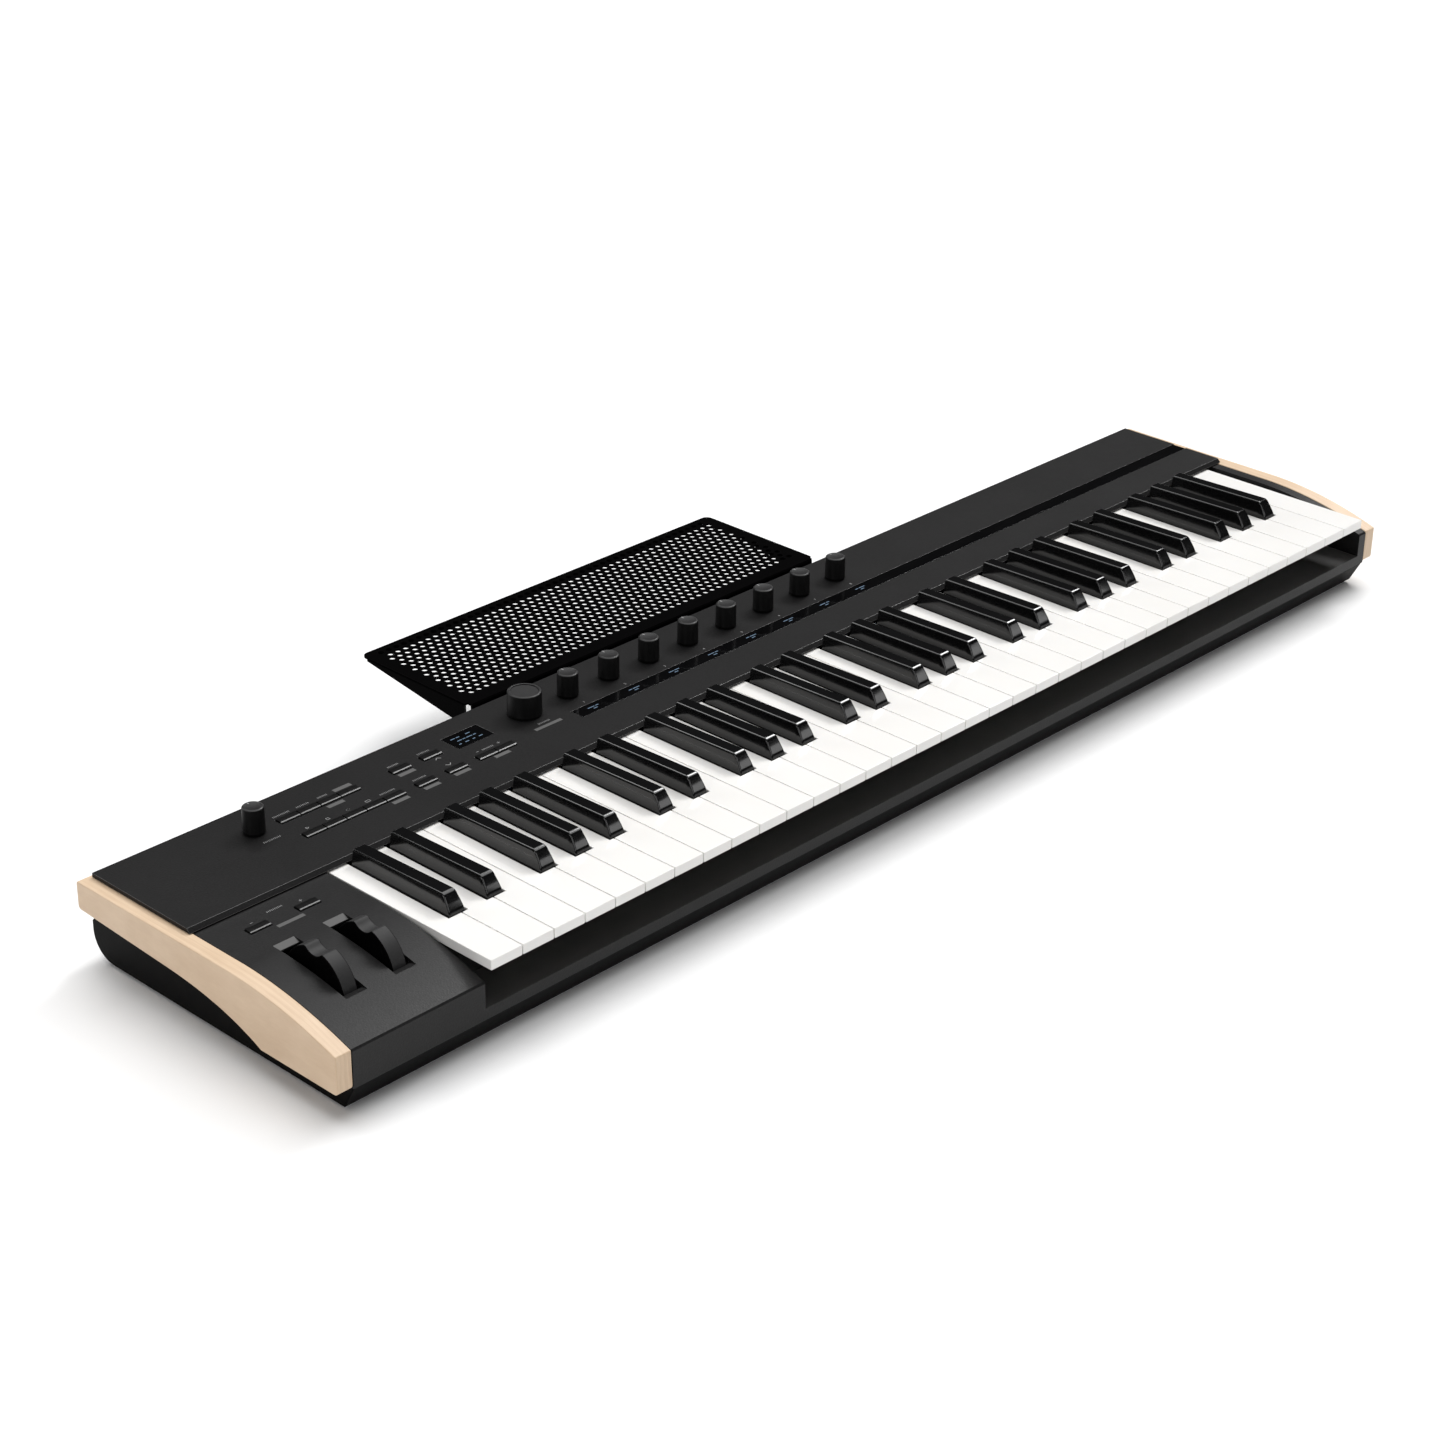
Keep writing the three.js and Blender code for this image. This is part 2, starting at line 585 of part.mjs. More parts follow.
// The other octaves are combs: every second natural, the naturals between them, and the sharps. The
// combs' rails lie one above the other behind the keys.
function addCombs(prefix, octaves, lastNatural) {
  const naturals = [];
  for (let index = octaves[0] * 7; index <= lastNatural; index += 1) naturals.push(index);
  const outer = naturals.filter((index) => (index % 7) % 2 === 0);
  const inner = naturals.filter((index) => (index % 7) % 2 === 1);
  const sharps = octaves.flatMap((octave) => BLACK_CENTRES.map((centre) => octave * OCTAVE + centre));
  const rail = (level, x0, x1) => {
    const high = TAIL_TOP - level * COMB_STEP;
    return block(x0, x1, COMB_FRONT + 6, TAIL_REAR, high - COMB_RAIL, high);
  };
  const necks = (list) => [naturalNeck(list[0]).neckLeft, naturalNeck(list.at(-1)).neckRight];
  const combOf = (list, level) => [
    ...list.flatMap((index) => naturalPieces(index, level)),
    rail(level, ...necks(list)),
  ];
  add(`${prefix}_keys_cegb`, join(combOf(outer, 0)), FINISH.whiteKey);
  add(`${prefix}_keys_dfa`, join(combOf(inner, 1)), FINISH.whiteKey);
  const half = BLACK_BASE / 2;
  const sharpComb = sharps.flatMap((centre) => sharpPieces(centre, 2));
  sharpComb.push(rail(2, sharps[0] - half, sharps.at(-1) + half));
  add(`${prefix}_keys_black`, join(sharpComb), FINISH.blackKey);
}

// The chassis that carries the keys: a floor on ribs, a stop bar under the keys and a bar behind them.
function makeKeybedFrame() {
  const x0 = 0;
  const x1 = WHITE_KEYS * KEY_PITCH + 3;
  const floor = BASE + WALL + 0.3;
  const pieces = [
    block(x0, x1, 40, 212, -36.5, -34),
    block(x0, x1, 96, 108, -35, -12.6),
    block(x0, x1, 202.5, 207, -35, -10.5),
  ];
  for (const y of [44, 120, 200]) pieces.push(block(x0, x1, y, y + 3, floor, -35));
  return join(pieces);
}

// ---------------------------------------------------------------- back of the instrument

function makeSocketPlate() {
  const { left, right, bottom, top, thick } = SOCKET_PLATE;
  const face = REAR_WALL - WALL - 0.3;
  const housing = face - thick - SOCKET_DEPTH + 1;
  const pieces = [block(left, right, face - thick, face, bottom, top)];
  const bores = [];
  const addRound = (x, radius) => {
    const half = radius + 2.2;
    pieces.push(block(x - half, x + half, housing, face - 0.5, SOCKET_Z - half, SOCKET_Z + half));
    bores.push(rodY(radius, x, housing + 1.5, face + 1, SOCKET_Z));
  };
  JACKS.forEach((x) => addRound(x, JACK_RADIUS));
  MIDI_SOCKETS.forEach((x) => addRound(x, MIDI_RADIUS));
  addRound(POWER_INLET.x, POWER_INLET.radius);
  const half = USB.width / 2;
  const rise = USB.height / 2;
  pieces.push(
    block(USB.x - half - 2, USB.x + half + 2, housing, face - 0.5, SOCKET_Z - rise - 2, SOCKET_Z + rise + 2),
  );
  bores.push(block(USB.x - half, USB.x + half, housing + 1.5, face + 1, SOCKET_Z - rise, SOCKET_Z + rise));
  const halfWidth = ROCKER.width / 2 + 0.6;
  const halfHeight = ROCKER.height / 2 + 0.8;
  bores.push(
    block(ROCKER.x - halfWidth, ROCKER.x + halfWidth, 210, 230, SOCKET_Z - halfHeight, SOCKET_Z + halfHeight),
  );
  return cut(join(pieces), bores);
}

// A shallow V of plastic that rocks about a pin through its middle.
function makeRocker() {
  const half = ROCKER.height / 2;
  const profile = [
    [-ROCKER.depth + 2, -2],
    [1.2, -half],
    [2.6, -half],
    [1.6, 0],
    [2.6, half],
    [1.2, half],
    [-ROCKER.depth + 2, 2],
  ];
  return prismX(profile, -ROCKER.width / 2, ROCKER.width / 2);
}

function roundedRectangle(x0, x1, y0, y1, radius) {
  const shape = new THREE.Shape();
  shape.moveTo(x0, y0);
  shape.lineTo(x1, y0);
  shape.absarc(x1 - radius, y1 - radius, radius, 0, Math.PI / 2, false);
  shape.absarc(x0 + radius, y1 - radius, radius, Math.PI / 2, Math.PI, false);
  return shape;
}

// One folded sheet: a flat top, a flange down its front edge and a tapering cheek down each side.
function makeLaptopShelf() {
  const { left, right, front, rear, top, sheet, drop, corner } = SHELF;
  const deck = prismZ(roundedRectangle(left, right, front, rear, corner), top - sheet, top, 6);
  const lip = block(left + 4, right - 4, front, front + sheet, top - drop, top - 0.2);
  const gusset = [
    [front + 4, top - 0.2],
    [front + 4, top - drop],
    [rear - corner, top - sheet - 1],
    [rear - corner, top - 0.2],
  ];
  const hem = block(left + corner, right - corner, rear - sheet, rear, top - 4, top - 0.2);
  const sides = [prismX(gusset, left, left + sheet), prismX(gusset, right - sheet, right)];
  return join([deck, lip, hem, ...sides]);
}

// ---------------------------------------------------------------- assembly

add("lower_case", makeLowerCase(), FINISH.base);
add("upper_case", makeUpperCase(), FINISH.case);
add("top_panel", makeTopPanel(), FINISH.panel);
add("left_cheek", makeCheek(LEFT), FINISH.wood);
add("right_cheek", makeCheek(INNER_RIGHT), FINISH.wood);
add("display_window", makeDisplayWindow(), FINISH.glass);
add("strip_window", makeStripWindow(), FINISH.glass);
add("laptop_shelf", makeLaptopShelf(), FINISH.shelf);
add("keybed_frame", makeKeybedFrame(), FINISH.frame);
add("panel_board", makePanelBoard(), FINISH.board);
add("rear_jack_plate", makeSocketPlate(), FINISH.base);
add("wheel_bracket", makeWheelBracket(), FINISH.steel);

["pitch_wheel", "mod_wheel"].forEach((name, index) => {
  add(name, makeWheel(), FINISH.wheel).position.set(WHEEL_CENTRES[index], WHEEL.y, WHEEL.z);
});

for (const knob of KNOBS) {
  add(knob.name, makeKnob(knob), FINISH.knob).position.set(knob.x, KNOB_ROW, PANEL_TOP);
}

for (const row of BUTTON_ROWS) {
  row.names.forEach((name, index) => {
    add(name, makeButton(row.x + index * BUTTON_PITCH, row.y, PANEL_TOP), FINISH.button);
  });
}
["octave_down_button", "octave_up_button"].forEach((name, index) => {
  const x = WHEEL_CENTRES[index] - 0.6;
  add(name, makeButton(x, OCTAVE_BUTTON_Y, CHEEK_TOP - SEAM), FINISH.button);
});

const rocker = add("power_rocker", makeRocker(), FINISH.button);
rocker.position.set(ROCKER.x, ROCKER.y, SOCKET_Z);
rocker.rotation.x = ROCKER.tilt;

addCombs("low", [0, 1], 13);
addSoloOctave(2);
addCombs("high", [3, 4], WHITE_KEYS - 1);

// The origin sits under the middle of the whole instrument, at the foot of its pads.
synthesizer.position.set(-MIDDLE_X, -SHELF.rear / 2, PAD_HEIGHT - BASE);

const placed = new THREE.Group();
placed.add(synthesizer);
export default placed;
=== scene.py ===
import math

import bmesh
import bpy
from mathutils import Matrix, Vector


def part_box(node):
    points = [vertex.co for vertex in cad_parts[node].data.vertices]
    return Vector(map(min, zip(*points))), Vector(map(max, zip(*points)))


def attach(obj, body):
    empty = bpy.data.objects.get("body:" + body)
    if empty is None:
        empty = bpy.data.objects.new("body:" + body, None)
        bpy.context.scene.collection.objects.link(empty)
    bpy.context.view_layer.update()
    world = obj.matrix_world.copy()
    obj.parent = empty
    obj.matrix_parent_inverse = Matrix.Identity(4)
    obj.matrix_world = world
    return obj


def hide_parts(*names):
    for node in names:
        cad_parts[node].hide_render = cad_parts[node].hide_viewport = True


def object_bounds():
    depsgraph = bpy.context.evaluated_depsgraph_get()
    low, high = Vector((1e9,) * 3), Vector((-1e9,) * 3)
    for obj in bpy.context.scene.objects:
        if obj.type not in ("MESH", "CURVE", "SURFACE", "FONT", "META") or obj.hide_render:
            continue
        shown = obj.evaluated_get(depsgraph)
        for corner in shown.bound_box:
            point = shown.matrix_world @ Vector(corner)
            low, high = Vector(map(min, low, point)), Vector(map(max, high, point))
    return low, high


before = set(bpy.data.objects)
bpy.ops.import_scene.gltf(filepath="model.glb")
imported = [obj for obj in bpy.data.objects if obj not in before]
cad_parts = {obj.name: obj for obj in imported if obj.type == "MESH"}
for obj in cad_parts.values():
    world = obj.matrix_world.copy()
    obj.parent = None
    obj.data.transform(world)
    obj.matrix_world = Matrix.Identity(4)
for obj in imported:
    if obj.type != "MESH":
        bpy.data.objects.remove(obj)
cad_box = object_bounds()

# A 61-key synthesizer with wooden cheeks, two wheels, a row of knobs, and a perforated shelf for a
# laptop behind its panel.
#
# Shapes are laid out in millimetres from the front left corner of the lowest key: X along the keys,
# Y to the back, Z up from the tops of the white keys. TO_WORLD carries them into the frame's metres.

MM = 0.001
KEY_PITCH = 23.5
OCTAVE = 7 * KEY_PITCH
WHITE_KEYS = 36
CAD_GAP = 0.9
SEEN_GAP = 0.6

first_key_low, first_key_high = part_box("low_keys_cegb")
ORIGIN = Vector((first_key_low.x - CAD_GAP / 2 * MM, first_key_low.y, first_key_high.z))
TO_WORLD = Matrix.Translation(ORIGIN) @ Matrix.Scale(MM, 4)


def local_box(node):
    """Lowest and highest corner of a CAD node, in the layout's millimetres."""
    return [(corner - ORIGIN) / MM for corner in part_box(node)]


def centre_of(node):
    low, high = local_box(node)
    return (low + high) / 2


def world_height(z):
    """A layout height in the frame's metres."""
    return (TO_WORLD @ Vector((0, 0, z))).z


PANEL_TOP = local_box("top_panel")[1].z


# ---------------------------------------------------------------- materials

WHITE = (1, 1, 1)
CHARCOAL = (0.0118, 0.0114, 0.0116)
BLEND_START = 0.3
BLEND_END = 0.7
CLOUD_SIZE = 60
SMEAR_SIZE = 8
GLOSS_SWING = 0.05


class Shader:
    """A node material built up call by call around one Principled shader."""

    def __init__(self, name, **sockets):
        self.material = bpy.data.materials.new(name)
        self.material.use_nodes = True
        self.tree = self.material.node_tree
        self.shader = self.tree.nodes["Principled BSDF"]
        for socket, value in sockets.items():
            self.shader.inputs[socket.replace("_", " ")].default_value = value
        coordinates = self.tree.nodes.new("ShaderNodeTexCoord")
        self.position = coordinates.outputs["Object"]

    def node(self, kind, links=(), **settings):
        made = self.tree.nodes.new("ShaderNode" + kind)
        for key, value in settings.items():
            if hasattr(made, key):
                setattr(made, key, value)
            else:
                made.inputs[key.replace("_", " ")].default_value = value
        for socket, source in dict(links).items():
            self.tree.links.new(source, made.inputs[socket])
        return made

    def stretched(self, scale):
        """Object coordinates scaled along each axis: a small scale draws a pattern out."""
        mapping = self.node("Mapping", {"Vector": self.position})
        mapping.inputs["Scale"].default_value = scale
        return mapping.outputs["Vector"]

    def noise(self, size, detail=3.0, roughness=0.5, vector=None):
        """Noise whose features are about size millimetres across."""
        source = {"Vector": vector or self.position}
        made = self.node("TexNoise", source, Scale=1 / (size * MM), Detail=detail, Roughness=roughness)
        return made.outputs["Fac"]

    def blend(self, factor, low, high):
        """A colour between low and high."""
        ramp = self.node("ValToRGB", {"Fac": factor})
        ramp.color_ramp.elements[0].position = BLEND_START
        ramp.color_ramp.elements[1].position = BLEND_END
        ramp.color_ramp.elements[0].color = (*low, 1)
        ramp.color_ramp.elements[1].color = (*high, 1)
        return ramp.outputs["Color"]

    def multiply(self, first, second):
        mixed = self.node("Mix", data_type="RGBA", blend_type="MULTIPLY")
        mixed.inputs["Factor"].default_value = 1
        self.tree.links.new(first, mixed.inputs["A"])
        self.tree.links.new(second, mixed.inputs["B"])
        return mixed.outputs["Result"]

    def spread(self, factor, low, high):
        """A number between low and high."""
        made = self.node("MapRange", {"Value": factor})
        made.inputs["To Min"].default_value = low
        made.inputs["To Max"].default_value = high
        return made.outputs["Result"]

    def colour(self, source):
        self.tree.links.new(source, self.shader.inputs["Base Color"])

    def roughness(self, source):
        self.tree.links.new(source, self.shader.inputs["Roughness"])

    def relief(self, height, strength, depth):
        """Bump from height, depth millimetres deep, on top of any earlier bump."""
        bump = self.node("Bump", {"Height": height}, Strength=strength, Distance=depth * MM)
        previous = self.shader.inputs["Normal"].links
        if previous:
            self.tree.links.new(previous[0].from_socket, bump.inputs["Normal"])
        self.tree.links.new(bump.outputs["Normal"], self.shader.inputs["Normal"])


def shade(colour, factor):
    return tuple(min(channel * factor, 1) for channel in colour)


def moulded(name, colour, roughness, grain=0.35, relief=0.06, mottle=0.1, speck=0.86, specular=0.5):
    """Plastic, rubber, lacquer or powder coat, with broad mottling and a fine grain.

    The grain is grain millimetres wide and relief millimetres deep, and speck is its darkest tone.
    """
    made = Shader(name, Specular_IOR_Level=specular)
    clouds = made.noise(CLOUD_SIZE, 2)
    fine = made.noise(grain, 2, 0.6)
    broad = made.blend(clouds, shade(colour, 1 - mottle), shade(colour, 1 + mottle))
    speckle = made.blend(fine, shade(WHITE, speck), WHITE)
    made.colour(made.multiply(broad, speckle))
    smears = made.noise(SMEAR_SIZE, 4)
    made.roughness(made.spread(smears, roughness - GLOSS_SWING, roughness + GLOSS_SWING))
    made.relief(fine, 0.5, relief)
    return made.material


def maple():
    """Pale close-grained wood: growth layers that run along the cheek, pores, and a faint curl."""
    made = Shader("maple", Coat_Weight=0.12, Coat_Roughness=0.3)
    layers = made.node(
        "TexWave",
        {"Vector": made.stretched((1, 0.06, 0.25))},
        wave_type="BANDS",
        bands_direction="X",
        Scale=90,
        Distortion=9,
        Detail=2,
        Detail_Scale=1,
    )
    streaks = made.noise(1.1, 3, 0.6, made.stretched((1, 0.03, 0.07)))
    pores = made.noise(0.4, 2, 0.7, made.stretched((1, 0.05, 0.3)))
    curl = made.noise(16, 2, 0.4, made.stretched((0.5, 1, 0.35)))
    base = made.blend(layers.outputs["Fac"], (0.705, 0.535, 0.372), (0.735, 0.565, 0.40))
    base = made.multiply(base, made.blend(streaks, (0.90, 0.865, 0.83), WHITE))
    base = made.multiply(base, made.blend(pores, (0.965, 0.95, 0.93), WHITE))
    made.colour(made.multiply(base, made.blend(curl, (0.955, 0.94, 0.92), WHITE)))
    made.roughness(made.spread(streaks, 0.36, 0.5))
    made.relief(pores, 0.35, 0.05)
    return made.material


def ivory_plastic():
    """The white keys: a warm white moulding with a soft polish and the faintest ripple."""
    made = Shader("white_key", Subsurface_Weight=0.08, Coat_Weight=0.25, Coat_Roughness=0.08)
    made.shader.inputs["Subsurface Radius"].default_value = (0.002, 0.0018, 0.0015)
    made.colour(made.blend(made.noise(70, 2), (0.845, 0.83, 0.805), (0.87, 0.858, 0.838)))
    made.roughness(made.spread(made.noise(5, 4), 0.17, 0.25))
    made.relief(made.noise(14, 2), 0.12, 0.25)
    made.relief(made.noise(0.5, 2), 0.15, 0.02)
    return made.material


def ebony_plastic():
    """The black keys: a polished black moulding, slightly uneven so that reflections waver."""
    made = Shader("black_key", Coat_Weight=0.2, Coat_Roughness=0.03)
    made.colour(made.blend(made.noise(40, 3), (0.0030, 0.0030, 0.0032), (0.0045, 0.0045, 0.0048)))
    made.roughness(made.spread(made.noise(3, 4), 0.08, 0.16))
    made.relief(made.noise(22, 1), 0.15, 0.2)
    return made.material


def machined(name, colour, roughness):
    """Bare metal with fine tool marks and slight clouding."""
    made = Shader(name, Metallic=1.0)
    marks = made.noise(0.5, 3, 0.6)
    tone = made.blend(made.noise(12, 3), shade(colour, 0.88), shade(colour, 1.08))
    made.colour(made.multiply(tone, made.blend(marks, shade(WHITE, 0.9), WHITE)))
    made.roughness(made.spread(marks, roughness - 0.06, roughness + 0.08))
    made.relief(marks, 0.2, 0.02)
    return made.material


def smoked_acrylic():
    """The windows: near black, polished, with faint smears."""
    made = Shader("smoked_acrylic", Specular_IOR_Level=0.3, Coat_Weight=0.05, Coat_Roughness=0.02)
    smear = made.noise(9, 4, 0.6, made.stretched((0.4, 1, 1)))
    made.colour(made.blend(smear, (0.0012, 0.0012, 0.0014), (0.0022, 0.0022, 0.0025)))
    made.roughness(made.spread(smear, 0.06, 0.13))
    made.relief(made.noise(30, 1), 0.05, 0.1)
    return made.material


def printed(name, colour, glow=0.0):
    """Screen-printed ink or a lit row of pixels, with a slightly broken tone. The labels' ink also serves as
    a painted sheen on the wheels' ramps.
    """
    made = Shader(name, Emission_Strength=glow)
    made.shader.inputs["Emission Color"].default_value = (*colour, 1)
    specks = made.noise(0.25, 2)
    made.colour(made.blend(specks, shade(colour, 0.85), shade(colour, 1.1)))
    made.roughness(made.spread(specks, 0.55, 0.7))
    return made.material


LACQUER = {"grain": 1.2, "relief": 0.16, "speck": 0.6}

FINISH = {
    "panel": moulded("panel_lacquer", CHARCOAL, 0.46, specular=0.12, **LACQUER),
    "case": moulded("case_plastic", CHARCOAL, 0.38, specular=0.2, **LACQUER),
    "tub": moulded("tub_plastic", (0.0024, 0.0023, 0.0024), 0.5, 0.5, 0.07, specular=0.04),
    # A lighter grey for the well's floor and the shelf's folded edges: painted light.
    "painted_light_grey": moulded("painted_light_grey_plastic", (0.028, 0.027, 0.026), 0.36, 0.5, 0.01, specular=0.4),
    "button": moulded("button_plastic", (0.0035, 0.0034, 0.0035), 0.4, 0.3, 0.02, specular=0.12),
    "knob": moulded("knob_plastic", (0.0028, 0.0027, 0.0028), 0.45, 0.3, 0.05, specular=0.18),
    # A lighter grey for the knobs' crowns: painted top light.
    "knob_painted_top_light": moulded("knob_painted_top_light_plastic", (0.018, 0.0176, 0.018), 0.42, 0.4, 0.05, specular=0.3),
    "wheel": moulded("wheel_rubber", (0.016, 0.0157, 0.016), 0.6, 0.3, 0.06, specular=0.4),
    # Near black for the wheels' flanks and bore: painted shade.
    "flank_painted_shade": moulded("wheel_flank_painted_shade", (0.0012, 0.0011, 0.0012), 0.5, 0.3, 0.05, specular=0.03),
    "shelf": moulded("powder_coat", (0.0015, 0.0014, 0.0015), 0.45, 0.25, 0.04, specular=0.006),
    # A lighter grey for rounded edges and one facet of each button: a painted highlight.
    "edge": moulded("painted_edge_highlight", (0.10, 0.099, 0.098), 0.34, 0.5, 0.02, specular=0.6),
    "frame": moulded("chassis_plastic", (0.022, 0.022, 0.022), 0.6),
    "socket": moulded("socket_plastic", (0.012, 0.012, 0.012), 0.35, 0.5),
    "pad": moulded("pad_rubber", (0.016, 0.0155, 0.015), 0.8, 0.5, 0.08),
    "board": moulded("solder_mask", (0.012, 0.085, 0.038), 0.35, 1.5, 0.03, mottle=0.3),
    "wood": maple(),
    "white": ivory_plastic(),
    "black": ebony_plastic(),
    "glass": smoked_acrylic(),
    "steel": machined("plated_steel", (0.56, 0.56, 0.58), 0.3),
    "screw": machined("black_screw", (0.06, 0.06, 0.062), 0.4),
    # The labels' ink, also used as a painted sheen on the wheels' ramps.
    "label": printed("label_ink_and_ramp_sheen", (0.078, 0.077, 0.076)),
    "symbol": printed("symbol_ink", (0.34, 0.34, 0.34)),
    "pixels": printed("lit_pixels", (0.07, 0.12, 0.18), 0.3),
}


# ---------------------------------------------------------------- mesh helpers

MERGE_DISTANCE = 0.002
FLAT_ANGLE = 0.6
SHARP_ANGLE = 40
BEVEL_ANGLE = 28
SECOND_FINISH = 1


def prism(bm, outline, axis, low, high):
    """A closed outline in the plane across axis, x or z, run along that axis from low to high."""
    place = {"x": lambda a, b, t: (t, a, b), "z": lambda a, b, t: (a, b, t)}[axis]
    rings = [[bm.verts.new(place(a, b, t)) for a, b in outline] for t in (low, high)]
    faces = [bm.faces.new(rings[0]), bm.faces.new(rings[1])]
    for i in range(len(outline)):
        j = (i + 1) % len(outline)
        faces.append(bm.faces.new((rings[0][i], rings[0][j], rings[1][j], rings[1][i])))
    return faces


def slab(bm, x0, x1, y0, y1, z0, z1):
    return prism(bm, [(x0, y0), (x1, y0), (x1, y1), (x0, y1)], "z", z0, z1)


def turned(bm, profile, centre, axis="z", sides=48):
    """A profile of (radius, height) turned about an axis through centre, z or y."""
    rings = []
    for radius, height in profile:
        if radius == 0:
            points = [(0, 0, height)]
        else:
            angles = [2 * math.pi * k / sides for k in range(sides)]
            points = [(radius * math.cos(t), radius * math.sin(t), height) for t in angles]
        if axis == "y":
            points = [(x, z, -y) for x, y, z in points]
        rings.append([bm.verts.new(Vector(centre) + Vector(p)) for p in points])
    for lower, upper in zip(rings, rings[1:]):
        for k in range(sides):
            n = (k + 1) % sides
            corners = [lower[k % len(lower)], lower[n % len(lower)]]
            corners += [upper[n % len(upper)], upper[k % len(upper)]]
            unique = list(dict.fromkeys(corners))
            if len(unique) > 2:
                bm.faces.new(unique)


def finish_piece(
    name,
    mesh,
    finish,
    body,
    bevel=0,
    segments=3,
    angle=BEVEL_ANGLE,
    smooth=SHARP_ANGLE,
    replaces=(),
    edge=None,
):
    """An object with its finish, its rounded edges, its body and the CAD nodes that it stands for.

    edge is a second finish, for the rounded edges and the faces marked with SECOND_FINISH. Every such finish
    in this script is painted light or shade.
    """
    obj = bpy.data.objects.new(name, mesh)
    bpy.context.scene.collection.objects.link(obj)
    mesh.materials.append(FINISH[finish])
    if edge:
        mesh.materials.append(FINISH[edge])
    mesh.shade_smooth()
    if bevel:
        rounding = obj.modifiers.new("edges", "BEVEL")
        rounding.width = bevel * MM
        rounding.segments = segments
        rounding.limit_method = "ANGLE"
        rounding.angle_limit = math.radians(angle)
        rounding.use_clamp_overlap = True
        if edge:
            rounding.material = SECOND_FINISH
        flats = obj.modifiers.new("flats", "WEIGHTED_NORMAL")
        flats.mode = "FACE_AREA"
        flats.weight = 100
    else:
        mesh.set_sharp_from_angle(angle=math.radians(smooth))
    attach(obj, body)
    if replaces:
        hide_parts(*replaces)
    return obj


def piece(name, bm, finish, body, **look):
    """A finished object from a mesh laid out in millimetres, riding on a body."""
    bmesh.ops.recalc_face_normals(bm, faces=bm.faces)
    bm.transform(TO_WORLD)
    mesh = bpy.data.meshes.new(name)
    bm.to_mesh(mesh)
    bm.free()
    finish_piece(name, mesh, finish, body, **look)


def refined(node, finish, bevel, segments=3, body="case", edge=None):
    """The CAD node's own shape with its edges rounded."""
    name = node + "_shell"
    bm = bmesh.new()
    bm.from_mesh(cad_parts[node].data)
    bmesh.ops.remove_doubles(bm, verts=bm.verts, dist=MERGE_DISTANCE * MM)
    bmesh.ops.dissolve_limit(bm, angle_limit=math.radians(FLAT_ANGLE), verts=bm.verts, edges=bm.edges)
    bmesh.ops.recalc_face_normals(bm, faces=bm.faces)
    mesh = bpy.data.meshes.new(name)
    bm.to_mesh(mesh)
    bm.free()
    return finish_piece(name, mesh, finish, body, bevel, segments, replaces=(node,), edge=edge)


def mark_faces(obj, finish, chosen):
    """Gives a second finish to the faces that chosen picks."""
    obj.data.materials.append(FINISH[finish])
    for face in obj.data.polygons:
        if chosen(face):
            face.material_index = SECOND_FINISH


# ---------------------------------------------------------------- keys

NOTCH_FRONT = 49.2
NOTCH_WIDTH = 14.2
BLACK_CENTRES = [21.15, 49.35, 90.1, 117.5, 144.9]
HAS_BLACK_TO_THE_RIGHT = [True, True, False, True, True, True, False]
KEY_LIP = 6.5
KEY_SHOULDER = 137
TAIL_FRONT = 128
TAIL_REAR = 188
TAIL_ROOT = -2
TAIL_TOP = -9.8
TAIL_FOOT = -20.2
TAIL_INSET = 0.3
SOLO_OCTAVE = 2
SOLO_NATURALS = ["c", "d", "e", "f", "g", "a", "b"]
SOLO_SHARPS = ["cs", "ds", "fs", "gs", "as"]
replaced_nodes = set()


def once(node):
    """The node, if no earlier piece stands for it yet."""
    if node in replaced_nodes:
        return ()
    replaced_nodes.add(node)
    return (node,)


def body_of(octave, solo_name, comb_name):
    """A key of the middle octave has its own body. Any other rides on a comb."""
    if octave == SOLO_OCTAVE:
        return "key_" + solo_name
    return ("low" if octave < SOLO_OCTAVE else "high") + "_keys_" + comb_name


def tail(bm, x0, x1):
    """The hidden rear part of a key, with the step down to it."""
    outline = [
        (TAIL_FRONT, TAIL_ROOT),
        (TAIL_FRONT, TAIL_FOOT),
        (TAIL_REAR, TAIL_FOOT),
        (TAIL_REAR, TAIL_TOP),
        (KEY_SHOULDER, TAIL_TOP),
        (KEY_SHOULDER, TAIL_ROOT),
    ]
    prism(bm, outline, "x", x0, x1)


def white_key(index):
    octave, degree = divmod(index, 7)
    left = index * KEY_PITCH + SEEN_GAP / 2
    right = (index + 1) * KEY_PITCH - SEEN_GAP / 2
    blacks_before = sum(HAS_BLACK_TO_THE_RIGHT[:degree])
    neck_left, neck_right = left, right
    if degree > 0 and HAS_BLACK_TO_THE_RIGHT[degree - 1]:
        neck_left = octave * OCTAVE + BLACK_CENTRES[blacks_before - 1] + NOTCH_WIDTH / 2
    if HAS_BLACK_TO_THE_RIGHT[degree] and index < WHITE_KEYS - 1:
        neck_right = octave * OCTAVE + BLACK_CENTRES[blacks_before] - NOTCH_WIDTH / 2
    outline = [(left, 0), (right, 0)]
    if neck_right < right:
        outline += [(right, NOTCH_FRONT), (neck_right, NOTCH_FRONT)]
    outline += [(neck_right, KEY_SHOULDER), (neck_left, KEY_SHOULDER)]
    if neck_left > left:
        outline += [(neck_left, NOTCH_FRONT), (left, NOTCH_FRONT)]
    bm = bmesh.new()
    prism(bm, outline, "z", -KEY_LIP, 0)
    tail(bm, neck_left + TAIL_INSET, neck_right - TAIL_INSET)
    body = body_of(octave, SOLO_NATURALS[degree], "cegb" if degree % 2 == 0 else "dfa")
    piece(f"white_key_{index + 1}", bm, "white", body, bevel=0.55, replaces=once(body))


